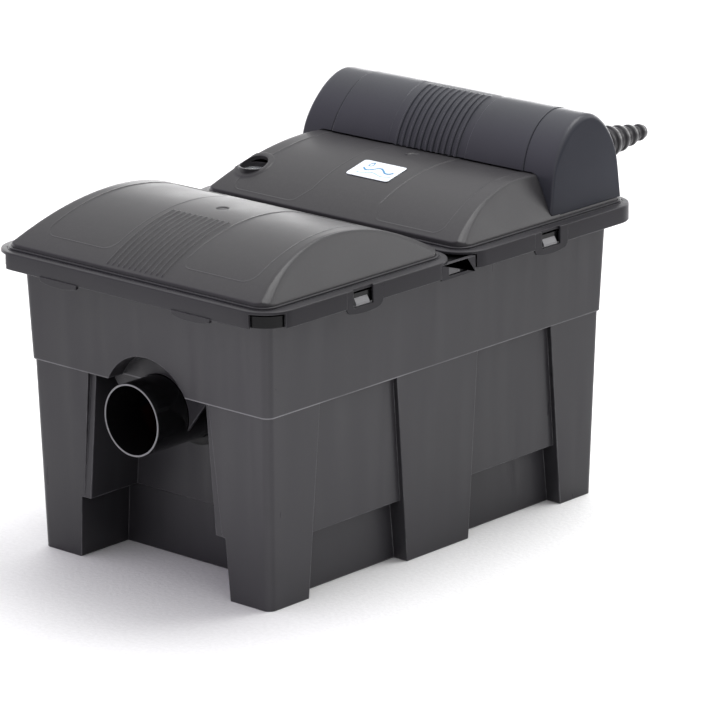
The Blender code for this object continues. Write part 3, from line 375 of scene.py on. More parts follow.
# pale grey, a painted highlight on the outlet pipe's mouth ring
PIPE_MOUTH_HIGHLIGHT = plastic("pipe_mouth_highlight_plastic", rgb("77777a"), rough=0.30, edge_wear_and_highlight=0.6, edge=0.0004)
EYE = plastic("eye_plastic", rgb("474648"), rough=0.36, edge_wear_and_highlight=0.8, edge=0.0006)
HOOD = plastic("hood_plastic", rgb("2c2d33"), rough=0.36, tint=rgb("32343d"), dust=0.02,
               ends=0.24, edge=0.0006, edge_wear_and_highlight=0.5)
PIPE = plastic("pipe_plastic", rgb("0c0c0d"), rough=0.17, grain=0.00001, edge_wear_and_highlight=0.9, wave=0.0001,
               edge=0.0006)
RIM = plastic("rim_plastic", rgb("09090a"), rough=0.22, grain=0.00003, edge=0.0005,
              specular=0.22, edge_wear_and_highlight=0.35)
FITTING = plastic("fitting_plastic", rgb("222224"), rough=0.42, edge=0.0006)
HOSE = plastic("hose_tail_plastic", rgb("222124"), rough=0.36, grain=0.00004, edge=0.0004)
GRID = plastic("grid_plastic", rgb("45474b"), rough=0.50)
HANDLE = plastic("handle_plastic", rgb("1d5489"), rough=0.42, grain=0.00004, edge_wear_and_highlight=0.15)
WHITE = plastic("float_plastic", rgb("e8e8e4"), rough=0.42, grain=0.00003, edge_wear_and_highlight=0.0)
LAMP = plastic("lamp_glass", rgb("eceff2"), rough=0.18, grain=0.00001, edge_wear_and_highlight=0.0)
PLATE = plastic("label_plate", rgb("e4eaf0"), rough=0.30, grain=0.00001, tint=rgb("d2dfec"),
                edge_wear_and_highlight=0.0)
INK = plastic("label_ink", rgb("3f87b4"), rough=0.40, grain=0.00001, edge_wear_and_highlight=0.0)
PALE_INK = plastic("label_ink_pale", rgb("9cc3da"), rough=0.40, grain=0.00001, edge_wear_and_highlight=0.0)
RUBBER = rubber("seal_rubber", rgb("1a1a1a"))
CABLE = rubber("cable_rubber", rgb("1b1b1d"), rough=0.55)
BLUE = foam("foam_blue", rgb("2c62a8"), pores=330)
RED = foam("foam_red", rgb("b2402f"), pores=470)
CLEAR = glass("window_clear", (0.92, 0.95, 0.97))
QUARTZ = glass("quartz_clear", (0.94, 0.96, 0.97), rough=0.02)


# ------------------------------------------------------------------ mesh tools
@contextmanager
def editing(mesh):
    """The mesh opened as a bmesh, and written back at the end."""
    edit = bmesh.new()
    edit.from_mesh(mesh)
    yield edit
    edit.to_mesh(mesh)
    edit.free()


def new_object(mesh):
    piece = bpy.data.objects.new(mesh.name, mesh)
    bpy.context.scene.collection.objects.link(piece)
    return piece


def solid(verts, faces):
    mesh = bpy.data.meshes.new("solid")
    mesh.from_pydata([tuple(vert) for vert in verts], [], faces)
    with editing(mesh) as edit:
        bmesh.ops.remove_doubles(edit, verts=edit.verts, dist=1e-6)
        bmesh.ops.recalc_face_normals(edit, faces=edit.faces)
    return new_object(mesh)


def rounded(half_x, half_y, radius, z, centre=(0.0, 0.0), steps=10):
    """A level ring: a rectangle with round corners."""
    points = []
    for sign_x, sign_y, start in ((1, 1, 0), (-1, 1, 90), (-1, -1, 180), (1, -1, 270)):
        for k in range(steps + 1):
            angle = math.radians(start + 90 * k / steps)
            points.append((centre[0] + sign_x * (half_x - radius) + radius * math.cos(angle),
                           centre[1] + sign_y * (half_y - radius) + radius * math.sin(angle), z))
    return points


def edge_rings(half_x, half_y, radius, z, edge, centre, steps):
    """Rings up a quarter-round top edge that starts at height z."""
    rings = []
    for k in range(6):
        angle = math.radians(90 * k / 5)
        inset = edge * (1 - math.cos(angle))
        rings.append(rounded(half_x - inset, half_y - inset, radius - inset,
                             z + edge * math.sin(angle), centre, steps))
    return rings


def loft(rings):
    count = len(rings[0])
    verts = [point for ring in rings for point in ring]
    faces = [list(range(count))[::-1], [(len(rings) - 1) * count + k for k in range(count)]]
    for i in range(len(rings) - 1):
        for k in range(count):
            after = (k + 1) % count
            faces.append([i * count + k, i * count + after,
                          (i + 1) * count + after, (i + 1) * count + k])
    return solid(verts, faces)


def block(half_x, half_y, radius, heights, centre=(0.0, 0.0), steps=10):
    """An upright solid with round corners."""
    return loft([rounded(half_x, half_y, radius, z, centre, steps) for z in heights])


def box(x_range, y_range, z_range):
    (x0, x1), (y0, y1) = sorted(x_range), sorted(y_range)
    return loft([[(x0, y0, z), (x1, y0, z), (x1, y1, z), (x0, y1, z)] for z in z_range])


def on_axis(axis, along, first, second):
    return {"X": (along, first, second), "Y": (first, along, second),
            "Z": (first, second, along)}[axis]


def prism(outline, axis, start, end):
    return loft([[on_axis(axis, along, *point) for point in outline]
                 for along in sorted((start, end))])


def turned(profile, axis, centre, seg=64):
    """A closed profile of (radius, place along the axis), turned about the axis."""
    verts, rows = [], []
    for radius, along in profile:
        row = []
        for k in range(seg if radius > 1e-9 else 1):
            angle = 2 * math.pi * k / seg
            point = on_axis(axis, along, radius * math.cos(angle), radius * math.sin(angle))
            row.append(len(verts))
            verts.append(tuple(value + shift for value, shift in zip(point, centre)))
        rows.append(row)
    faces = []
    for i, row in enumerate(rows):
        other = rows[(i + 1) % len(rows)]
        if len(row) == 1 and len(other) == 1:
            continue
        for k in range(seg):
            face = []
            for vert in (row[k % len(row)], row[(k + 1) % len(row)],
                         other[(k + 1) % len(other)], other[k % len(other)]):
                if vert not in face:
                    face.append(vert)
            faces.append(face)
    return solid(verts, faces)


def rod(axis, centre, radius, start, end, seg=64):
    return turned([(0, start), (radius, start), (radius, end), (0, end)], axis, centre, seg)


def soften(points, radius, steps=4):
    """A closed outline with its corners curved; those at a first value of 0 or less stay."""
    out = []
    for i, point in enumerate(points):
        corner = Vector(point)
        if corner[0] < 1e-9:
            out.append(tuple(corner))
            continue
        back, on = Vector(points[i - 1]) - corner, Vector(points[(i + 1) % len(points)]) - corner
        cut_back, cut_on = min(radius, back.length * 0.45), min(radius, on.length * 0.45)
        start = corner + back.normalized() * cut_back
        end = corner + on.normalized() * cut_on
        for k in range(steps + 1):
            t = k / steps
            out.append(tuple(start * (1 - t) ** 2 + corner * 2 * t * (1 - t) + end * t * t))
    return out


def bezier(start, pull_start, pull_end, end, count):
    """Points of a cubic curve, without its end point."""
    out = []
    for k in range(count):
        t = k / count
        s = 1 - t
        out.append(tuple(s ** 3 * p0 + 3 * s * s * t * p1 + 3 * s * t * t * p2 + t ** 3 * p3
                         for p0, p1, p2, p3 in zip(start, pull_start, pull_end, end)))
    return out


def boolean(piece, tools, operation, solver):
    for tool in tools:
        mod = piece.modifiers.new("Boolean", "BOOLEAN")
        mod.operation = operation
        mod.solver = solver
        mod.object = tool
        bpy.context.view_layer.update()
        graph = bpy.context.evaluated_depsgraph_get()
        mesh = bpy.data.meshes.new_from_object(piece.evaluated_get(graph))
        piece.modifiers.clear()
        old = piece.data
        piece.data = mesh
        bpy.data.meshes.remove(old)
        bpy.data.objects.remove(tool, do_unlink=True)
        with editing(mesh) as edit:
            bmesh.ops.remove_doubles(edit, verts=edit.verts, dist=2e-6)
    return piece


def cut(piece, *tools, solver="EXACT"):
    return boolean(piece, tools, "DIFFERENCE", solver)


def join(piece, *tools, solver="EXACT"):
    return boolean(piece, tools, "UNION", solver)


def clean(piece):
    """Merges flat neighbours and stray points left by the booleans."""
    with editing(piece.data) as edit:
        bmesh.ops.dissolve_limit(edit, angle_limit=math.radians(0.3), verts=edit.verts,
                                 edges=edit.edges)
        bmesh.ops.remove_doubles(edit, verts=edit.verts, dist=5e-6)
    return piece


def add_bevel(piece, width, segments, limit, harden):
    mod = piece.modifiers.new("Bevel", "BEVEL")
    mod.width = width
    mod.segments = segments
    mod.limit_method = limit
    mod.use_clamp_overlap = True
    mod.harden_normals = harden
    return mod


def bevel(piece, width, segments=2, angle=30):
    add_bevel(piece, width, segments, "ANGLE", harden=False).angle_limit = math.radians(angle)


def bevel_long(piece, width):
    """Rounds the long outward edges, and leaves those that end among very short ones."""
    long_edge, short_edge, least_angle = 0.015, 0.0025, math.radians(35)
    with editing(piece.data) as edit:
        weight = edit.edges.layers.float.new("bevel_weight_edge")
        for edge in edit.edges:
            if len(edge.link_faces) != 2 or edge.calc_length() < long_edge or not edge.is_convex:
                continue
            if edge.calc_face_angle(0.0) < least_angle:
                continue
            if all(other.calc_length() > short_edge
                   for vert in edge.verts for other in vert.link_edges):
                edge[weight] = 1.0
    add_bevel(piece, width, 2, "WEIGHT", harden=True)


def place(piece, name, mat, body, stands_for=None, angle=35):
    """Names and finishes a piece, and hands it to the frame. angle: the sharp-edge limit."""
    piece.name = name
    piece.data.name = name
    piece.data.materials.clear()
    piece.data.materials.append(mat)
    for poly in piece.data.polygons:
        poly.material_index = 0
    piece.data.shade_smooth()
    piece.data.set_sharp_from_angle(angle=math.radians(angle))
    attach(piece, body)
    if stands_for:
        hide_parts(stands_for)


def dress(mat, width, *nodes, segments=2):
    """Frame pieces that keep their shape: own material and softened edges."""
    for node in nodes:
        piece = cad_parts[node]
        for material_slot in piece.material_slots:
            material_slot.material = mat
        if width:
            weld = piece.modifiers.new("Weld", "WELD")
            weld.merge_threshold = 0.00001
            bevel(piece, width, segments, angle=35)


# ------------------------------------------------------------------ domes as height fields
# In this section y runs outward from the middle of the filter; `side` turns it to -Y or +Y.
PANEL_IN_X = 0.047                       # inner edge of the side panels
FRONT_PANEL = [(PANEL_IN_X, 0.079), (0.131, 0.079), (0.142, 0.2545), (PANEL_IN_X, 0.2545)]
REAR_PANEL = [(PANEL_IN_X, 0.21), (PANEL_IN_X, 0.040), (0.057, 0.0205), (0.145, 0.0205),
              (0.133, 0.102), (0.130, 0.21)]
LABEL_BED = [(-0.0305, 0.0705), (0.0295, 0.0705), (0.0295, 0.1055), (-0.0305, 0.1055)]
RIB_COUNT, RIB_PITCH, RIB_START = 11, 0.0075, -0.0375
COLLAR = 0.0235                          # fine grid this far round the window
# grid bands: (start, end, step)
END_BANDS = [(PANEL_IN_X - 0.002, 0.0490, 0.00055), (0.0490, 0.0600, 0.0011),
             (0.1285, 0.1470, 0.0007), (0.1470, 0.1760, 0.0009), (0.1760, DOME_X, 0.0004)]
INNER_EDGE_BAND = (DOME_Y0, 0.0180, 0.0005)
X_BANDS = {
    "front": [(0.0, 0.0410, 0.0005), (0.0270, 0.0310, 0.003)] + END_BANDS,
    "rear": [(0.0, 0.0080, 0.0005), (0.0270, 0.0310, 0.0006)] + END_BANDS}
Y_BANDS = {
    "front": [INNER_EDGE_BAND, (0.0775, 0.0805, 0.0005), (0.0805, 0.0930, 0.0011),
              (0.1350, 0.1520, 0.0009), (0.1715, 0.1765, 0.0006), (0.2400, 0.2530, 0.0012),
              (0.2530, 0.2565, 0.0005), (0.2680, DOME_Y1, 0.0005)],
    "rear": [INNER_EDGE_BAND, (0.0190, 0.0320, 0.0007),
             (FLOAT_Y - COLLAR, FLOAT_Y + COLLAR, 0.0010), (0.0690, 0.0720, 0.0005),
             (0.1040, 0.1070, 0.0005), (0.1340, 0.1530, 0.0009),
             (DOME_Y1 - 0.0035, DOME_Y1, 0.0005)]}


def soft_min(first, second, blend):
    share = np.clip(0.5 + 0.5 * (second - first) / blend, 0, 1)
    return second + (first - second) * share - blend * share * (1 - share)


def ramp(start, end, value):
    """0 at start to 1 at end, eased at both."""
    t = np.clip((value - start) / (end - start), 0, 1)
    return t * t * (3 - 2 * t)


def polygon_distance(x, y, corners, radius):
    """Signed distance to a convex polygon with round corners (negative inside)."""
    points = [Vector(corner) for corner in corners]
    count = len(points)
    centre = sum(points, Vector((0, 0))) / count
    sides = []
    for i, start in enumerate(points):
        along = (points[(i + 1) % count] - start).normalized()
        normal = Vector((along[1], -along[0]))
        if normal.dot(centre - start) > 0:
            normal = -normal
        sides.append((normal, normal.dot(start) - radius))
    shrunk = []
    for i in range(count):
        (n1, c1), (n2, c2) = sides[i - 1], sides[i]
        det = n1[0] * n2[1] - n1[1] * n2[0]
        shrunk.append(Vector(((c1 * n2[1] - c2 * n1[1]) / det, (n1[0] * c2 - n2[0] * c1) / det)))
    outside = np.full(x.shape, 1e9)
    inside = np.full(x.shape, -1e9)
    for i, (normal, offset) in enumerate(sides):
        (x0, y0), (x1, y1) = shrunk[i], shrunk[(i + 1) % count]
        run_x, run_y = x1 - x0, y1 - y0
        t = ((x - x0) * run_x + (y - y0) * run_y) / (run_x * run_x + run_y * run_y)
        t = np.clip(t, 0, 1)
        outside = np.minimum(outside, np.hypot(x - x0 - t * run_x, y - y0 - t * run_y))
        inside = np.maximum(inside, normal[0] * x + normal[1] * y - offset)
    return np.where(inside > 0, outside, inside) - radius


def dome_plain(x, y, inset=0.0):
    """Height of the arch where it meets the leaning ends over a narrow eased band."""
    radius = DOME_R - inset
    arch = DOME_TOP - DOME_R + np.sqrt(np.maximum(radius * radius - (y - DOME_YC) ** 2, 0))
    ends = DOME_EDGE + (DOME_X - inset - np.abs(x)) / DOME_LEAN
    band = 0.0006 + 0.0026 * (1 - ramp(0.322, 0.362, arch))
    z = soft_min(arch, ends, 0.0016)
    z = soft_min(z, (arch + ends) / 2 - band, 0.0028)
    if inset == 0:
        for sign in (-1, 1):
            z = z + 0.00045 * np.exp(-((sign * (arch - ends) - 2 * band) / 0.0013) ** 2)
    return z


def add_panel(z, distance, share=1.0):
    """A fine step down with a thread-like edge."""
    z -= share * 0.00035 * ramp(0.0006, -0.0006, distance)
    z += share * 0.00032 * np.exp(-((distance - 0.0004) / 0.0006) ** 2)


def dome_detail(x, y, rear):
    """What stands out of, or is sunk into, the plain dome."""
    z = np.zeros_like(x)
    # a shallow round mark in the middle
    off = np.hypot(x, y - DOME_YC)
    z -= 0.0011 * (1 - ramp(0.0058, 0.0072, off)) - 0.0004 * (1 - ramp(0.0010, 0.0055, off))
    if not rear:
        add_panel(z, polygon_distance(np.abs(x), y, FRONT_PANEL, 0.013))
        for k in range(RIB_COUNT):
            length = ramp(0.1725, 0.1755, y) * (1 - ramp(0.2690, 0.2710, y))
            off = np.abs(x - (RIB_START + RIB_PITCH * k))
            z += length * (0.0014 * (1 - ramp(0.0005, 0.0018, off)))
        return z
    # the panels stop short of the collar round the inspection window
    off = np.hypot(x - FLOAT_X, y - FLOAT_Y)
    near = 1 - ramp(0.019, 0.023, off)
    add_panel(z, polygon_distance(np.abs(x), y, REAR_PANEL, 0.010), 1 - near)
    z += 0.0011 * ramp(0.0222, 0.0200, off) * (1 - 0.5 * ramp(0.0168, 0.0150, off))
    z -= 0.00025 * ramp(0.0004, -0.0004, polygon_distance(x, y, LABEL_BED, 0.0035))
    return z


def grid_lines(start, end, coarse, bands):
    """Grid lines from start to end, closer together inside the bands."""
    out = [start]
    while out[-1] < end - 1e-6:
        at = out[-1]
        step = coarse
        for band_start, band_end, band_step in bands:
            if band_start - 1e-9 <= at < band_end - 1e-9:
                step = min(step, band_step)
            elif at < band_start < at + step:
                step = min(step, max(band_start - at, 1e-5))
        out.append(min(at + step, end))
    return np.array(out)


def dome_plan(x_lines, y_lines, inset=0.0):
    """The grid with its corner squares bent onto round corners, and its depth inside."""
    x, y = np.meshgrid(x_lines, y_lines, indexing="ij")
    radius = DOME_CORNER - inset
    y0, y1 = DOME_Y0 + inset, DOME_Y1 - inset
    straight_x, mid_y = DOME_X - inset - radius, (y0 + y1) / 2
    straight_y = (y1 - y0) / 2 - radius
    u = np.clip((np.abs(x) - straight_x) / radius, 0, 1)
    v = np.clip((np.abs(y - mid_y) - straight_y) / radius, 0, 1)
    bent_u, bent_v = u * np.sqrt(1 - v * v / 2), v * np.sqrt(1 - u * u / 2)
    x = np.where(u > 0, np.sign(x) * (straight_x + bent_u * radius), x)
    y = np.where(v > 0, mid_y + np.sign(y - mid_y) * (straight_y + bent_v * radius), y)
    past_x, past_y = np.abs(x) - straight_x, np.abs(y - mid_y) - straight_y
    into = np.where((past_x > 0) & (past_y > 0), radius - np.hypot(past_x, past_y),
                    np.minimum(radius - past_x, radius - past_y))
    return x, y, np.maximum(into, 0)


def height_solid(x, y, z, base):
    """A height field closed by walls down to a flat base."""
    nx, ny = x.shape
    verts = np.stack([x, y, z], axis=-1).reshape(-1, 3)
    faces = [(i * ny + j, (i + 1) * ny + j, (i + 1) * ny + j + 1, i * ny + j + 1)
             for i in range(nx - 1) for j in range(ny - 1)]
    loop = ([i * ny for i in range(nx)] + [(nx - 1) * ny + j for j in range(1, ny)]
            + [i * ny + ny - 1 for i in range(nx - 2, -1, -1)] + [j for j in range(ny - 2, 0, -1)])
    first, count = len(verts), len(loop)
    verts = np.concatenate([verts, np.array([[verts[i][0], verts[i][1], base] for i in loop])])
    for k in range(count):
        after = (k + 1) % count
        faces.append((loop[k], first + k, first + after, loop[after]))
    faces.append(tuple(first + k for k in range(count)))
    return solid(verts, faces)


def deck_cut(inset=0.0):
    return box((-0.2, 0.2), (DECK_Y - inset, 0.30), (DECK_TOP - inset, 0.40))


def dome_outer(key, side):
    rear = key == "rear"
    half = grid_lines(0, DOME_X, 0.0030, X_BANDS[key])
    x_lines = np.concatenate([-half[:0:-1], half])
    if rear:
        extra = np.arange(FLOAT_X - COLLAR, FLOAT_X + COLLAR, 0.0009)
        x_lines = np.unique(np.round(np.concatenate([x_lines, extra]), 6))
        x_lines = x_lines[np.concatenate([[True], np.diff(x_lines) > 0.00025])]
    y_lines = grid_lines(DOME_Y0, DOME_Y1, 0.0030, Y_BANDS[key])
    x, y, into = dome_plan(x_lines, y_lines)
    z = np.maximum(dome_plain(x, y), DOME_EDGE)
    z = z + dome_detail(x, y, rear) * ramp(0.0, 0.004, into)
    edge = 0.0010                        # radius of the rounded outer edge
    drop = edge - np.sqrt(np.maximum(edge * edge - np.maximum(edge - into, 0) ** 2, 0))
    return height_solid(x, side * y, z - drop * 0.85, DOME_BASE)


def dome_inner(side):
    """The hollow under a dome, a plain height field that runs out below its base."""
    half = DOME_X - DOME_T
    x, y, _ = dome_plan(np.linspace(-half, half, 61),
                        np.linspace(DOME_Y0 + DOME_T, DOME_Y1 - DOME_T, 45), DOME_T)
    z = np.maximum(dome_plain(x, y, DOME_T), 0.3180)
    return height_solid(x, side * y, z, DOME_BASE - 0.01)


def make_front_dome():
    dome = cut(dome_outer("front", -1), dome_inner(-1), solver="MANIFOLD")
    place(dome, "front_lid_dome", COVER, "front_cover", "front_lid", angle=28)


def make_rear_dome():
    inner = cut(dome_inner(1), deck_cut(DOME_T), solver="MANIFOLD")
    dome = cut(dome_outer("rear", 1), deck_cut(), inner, solver="MANIFOLD")
    # a cup under the inspection window, open through the middle
    dome = join(dome, rod("Z", FLOAT_AXIS, 0.0170, 0.3300, 0.3440), solver="MANIFOLD")
    spout_axis = (-0.0650, 0.2140, 0)
    dome = cut(dome, rod("Z", FLOAT_AXIS, 0.0150, 0.3330, 0.3700, 96),
               rod("Z", FLOAT_AXIS, 0.0125, 0.3100, 0.3400),
               rod("Z", spout_axis, 0.0156, 0.3000, 0.3400, 48), solver="MANIFOLD")
    place(dome, "rear_lid_dome", COVER, "rear_cover", "rear_lid", angle=28)


# ------------------------------------------------------------------ cover skirts
SKIRT_OPEN_Y = {"front": 0.0325, "rear": 0.0240}   # the skirt is open up to here at the middle
OPEN_Z = (0.28, 0.3145)                            # heights hollowed under the skirt's top
BEAD_X, BEAD_MARGIN, BEAD_EDGE = 0.1810, 0.0032, 0.0008
TAB_X, TAB_ROOT_X, TAB_TIP_X, TAB_ROOT_Z = 0.0910, 0.0262, 0.0250, 0.3010


def finger_tab(centre):
    """A tab hanging from the front skirt, its lower edge curved."""
    outline = [(centre - TAB_ROOT_X, TAB_ROOT_Z)]
    for k in range(13):
        t = -1 + 2 * k / 12
        outline.append((centre + TAB_TIP_X * t, TAB_BOT - 0.0006 + 0.0030 * abs(t) ** 2.5))
    outline.append((centre + TAB_ROOT_X, TAB_ROOT_Z))
    return prism(outline, "Y", -SKIRT_Y - 0.0013, -SKIRT_Y + SKIRT_T)


def make_skirt(key, side):
    centre, half_y = (0, side * (MID_GAP + SKIRT_Y) / 2), (SKIRT_Y - MID_GAP) / 2
    dome_centre, dome_y = (0, side * (DOME_Y0 + DOME_Y1) / 2), (DOME_Y1 - DOME_Y0) / 2

    def around_dome(half_x, margin, *heights):
        return block(half_x, dome_y + margin, DOME_CORNER + margin, heights, dome_centre, 12)

    foot = 0.0004
    rings = [rounded(SKIRT_X - foot, half_y - foot, SKIRT_R - foot, SKIRT_BOT, centre, 14),
             rounded(SKIRT_X, half_y, SKIRT_R, SKIRT_BOT + foot, centre, 14)]
    rings += edge_rings(SKIRT_X, half_y, SKIRT_R, SKIRT_TOP - SKIRT_EDGE, SKIRT_EDGE, centre, 14)
    bead_plan = (BEAD_X, dome_y + BEAD_MARGIN, DOME_CORNER + BEAD_MARGIN)
    bead = loft([rounded(*bead_plan, 0.3160, dome_centre, 12)]
                + edge_rings(*bead_plan, 0.3188, BEAD_EDGE, dome_centre, 12))
    skirt = join(loft(rings), bead)
    hollow = block(SKIRT_X - SKIRT_T, half_y - SKIRT_T, SKIRT_R - SKIRT_T, OPEN_Z, centre, 14)
    opening = block(0.1715, 0.1233, 0.028, (0.30, 0.33), dome_centre)
    seat = around_dome(DOME_X + 0.0006, 0.0006, 0.3158, 0.33)
    lip_room = block(LIP_X + 0.0007, LIP_Y + 0.0007, LIP_R, (0.28, 0.3135), steps=12)
    # a fine groove round the top
    groove = cut(around_dome(0.1828, 0.0050, SKIRT_TOP - 0.0007, 0.3176),
                 around_dome(0.1818, 0.0040, 0.31, 0.34))
    tools = [hollow, opening, seat, lip_room, groove,
             box((-BEYOND_X, BEYOND_X), (0, side * SKIRT_OPEN_Y[key]), OPEN_Z)]
    if key == "front":
        tools += [box((sign * 0.1665, sign * BEYOND_X), (-0.30, -0.2590), OPEN_Z)
                  for sign in (-1, 1)]
    y0, y1 = CLIPS[key]
    tools += [box((sign * (CLIP_X - 0.0004), sign * BEYOND_X), (y0 - 0.0001, y1 + 0.0001),
                  (0.28, 0.33)) for sign in (-1, 1)]
    skirt = cut(skirt, *tools)
    if key == "front":
        skirt = join(skirt, finger_tab(-TAB_X), finger_tab(TAB_X))
    place(clean(skirt), key + "_skirt", FRAME, key + "_cover", key + "_lid_frame")


# ------------------------------------------------------------------ clips
CLIP_WINDOW_Z = 0.2990
# one lower corner of a clip, from its end inward: (distance in along y, height)
CLIP_CORNER = ((0.0, 0.2985), (0.0030, 0.2940), (0.0110, 0.2923), (0.0200, CLIP_BOT))


def make_clip(key, side_name, side):
    (y0, y1), (window0, window1) = CLIPS[key], WINDOWS[key]
    outline = [(y0, CLIP_TOP)] + [(y0 + along, z) for along, z in CLIP_CORNER]
    outline += [(y1 - along, z) for along, z in CLIP_CORNER[::-1]] + [(y1, CLIP_TOP)]
    outline += [(window1, CLIP_TOP), (window1, CLIP_WINDOW_Z), (window0, CLIP_WINDOW_Z),
                (window0, CLIP_TOP)]
    clip = prism(soften(outline, 0.0012), "X", side * CLIP_X, side * SKIRT_X)
    # the skirt's rounded top edge runs on over the clip's arms
    over = [(SKIRT_X + 0.001, CLIP_TOP - SKIRT_EDGE), (SKIRT_X, CLIP_TOP - SKIRT_EDGE)]
    for degrees in range(15, 91, 15):
        angle = math.radians(degrees)
        over.append((SKIRT_X - SKIRT_EDGE * (1 - math.cos(angle)),
                     CLIP_TOP - SKIRT_EDGE + SKIRT_EDGE * math.sin(angle)))
    over += [(SKIRT_X - SKIRT_EDGE, CLIP_TOP + 0.001), (SKIRT_X + 0.001, CLIP_TOP + 0.001)]
    clip = cut(clip, prism([(side * x, z) for x, z in over], "Y", y0 - 0.01, y1 + 0.01))
    bevel(clean(clip), 0.0003, angle=42)
    place(clip, "clip_%s_%s_latch" % (key, side_name), FRAME, "%s_%s_clip" % (key, side_name),
          "clip_%s_%s" % (key, side_name))


# ------------------------------------------------------------------ hood
HOOD_RIB_PITCH, HOOD_RIB_START = 0.0082, -0.041
HOOD_FIXED_X = 0.056          # columns within this keep their x up the hood
HOOD_GROOVE_X = 0.1340        # groove line near each end
# plain ends of the hood's hollow: (share of the half width, pull towards the middle)
HOLLOW_ENDS = ((1.0, 0.0050), (0.9985, 0.0025), (0.9950, 0.0009), (0.9890, 0.0))
SLOT_R = 0.0200


def hood_profile(inset, bottom, side_steps, front_steps, back_steps):
    """The hood's section as (y, z), up the front, over the crown and down the back."""
    crown = (0.2250, HOOD_CROWN - inset)
    front_side = (0.1648 + inset, HOOD_SIDE_Z)
    back_side = (0.2690 - inset, HOOD_SIDE_Z)
    start, end = (HOOD_FRONT + inset, bottom), (HOOD_BACK - inset, bottom)

    def straight(first, last, count):
        return [tuple(a + (b - a) * k / side_steps for a, b in zip(first, last))
                for k in range(count)]

    points = straight(start, front_side, side_steps)
    points += bezier(front_side, (0.1720 + inset, 0.3900 - inset / 2),
                     (0.1980 + inset / 2, HOOD_CROWN - inset), crown, front_steps)
    points += bezier(crown, (0.2460, HOOD_CROWN - inset), (0.2665 - inset, 0.3970 - inset / 2),
                     back_side, back_steps)
    points += straight(back_side, end, side_steps + 1)
    return np.array(points)


def hood_outer():
    profile = hood_profile(0.0, HOOD_BOT, 10, 44, 40)
    count = len(profile)
    tangent = np.gradient(profile, axis=0)
    tangent /= np.linalg.norm(tangent, axis=1)[:, None]
    normal = np.stack([-tangent[:, 1], tangent[:, 0]], axis=1)    # outward
    normal[0], normal[-1] = (-1, 0), (1, 0)
    up = (profile[:, 1] - HOOD_BOT) / (HOOD_CROWN - HOOD_BOT)
    half_x = HOOD_X_BOT + (HOOD_X_TOP - HOOD_X_BOT) * up
    low = ramp(0.0, 0.010, profile[:, 1] - HOOD_BOT)              # the foot stays put
    edge = 0.0026 + 0.0044 * ramp(0.30, 0.95, up)                 # rounding of the ends
    last = HOOD_X_BOT - 0.004
    columns = grid_lines(0, last, 0.0060, [(0.0, 0.0533, HOOD_RIB_PITCH / 16),
                                           (0.1310, 0.1370, 0.0003)])

    def ring(column, angle, sign):
        """column: its distance from the middle; angle: how far round the end's edge."""
        stretch = (half_x - edge - HOOD_FIXED_X) / (last - HOOD_FIXED_X)
        x = np.where(column > HOOD_FIXED_X, HOOD_FIXED_X + (column - HOOD_FIXED_X) * stretch,
                     column) + edge * math.sin(angle)
        lift = np.full(count, 0.0006 * float(ramp(0.1342, 0.1334, column)))
        lift -= 0.0011 * float(np.exp(-((column - HOOD_GROOVE_X) / 0.0006) ** 2))
        lift -= 0.0005 * float(ramp(0.0535, 0.0528, column)) * ramp(0.232, 0.222, profile[:, 0])
        over = ramp(0.2225, 0.2175, profile[:, 0])                # ribs on the front half only
        for k in range(11):
            off = abs(sign * column - (HOOD_RIB_START + HOOD_RIB_PITCH * k))
            lift = lift + over * 0.0019 * float(1 - ramp(0.0010, 0.0022, off))
        lift = lift * low - edge * (1 - math.cos(angle))
        moved = profile + normal * lift[:, None]
        moved[0, 1] = moved[-1, 1] = HOOD_BOT
        moved[:, 1] = np.clip(moved[:, 1], HOOD_BOT, HOOD_CROWN + 0.0019)
        return [(sign * x[i], moved[i, 0], moved[i, 1]) for i in range(count)]

    stations = [(column, 0.0) for column in columns]
    stations += [(last, math.radians(90 * k / 7)) for k in range(1, 8)]
    right = [ring(column, angle, 1) for column, angle in stations]
    left = [ring(column, angle, -1) for column, angle in stations[1:]]
    return loft(left[::-1] + right)


def hood_hollow():
    bottom = HOOD_BOT - 0.01
    profile = hood_profile(HOOD_T, bottom, 2, 12, 11)
    up = (profile[:, 1] - HOOD_BOT) / (HOOD_CROWN - HOOD_BOT)
    rings = []
    for share, ease in HOLLOW_ENDS:
        ring = []
        for (y, z), rise in zip(profile, up):
            x = (HOOD_X_BOT + (HOOD_X_TOP - HOOD_X_BOT) * rise - HOOD_T) * share
            off_y, off_z = y - 0.2150, z - HOOD_BOT
            length = math.hypot(off_y, off_z) or 1.0
            drop = off_z / length * ease if z > bottom + 1e-6 else 0.0
            ring.append((x, y - off_y / length * ease, z - drop))
        rings.append(ring)
    left = [[(-x, y, z) for x, y, z in ring] for ring in rings]
    return loft(left + rings[::-1])


def dome_arch(y):
    return DOME_TOP - DOME_R + math.sqrt(max(DOME_R ** 2 - (y - DOME_YC) ** 2, 0.0))


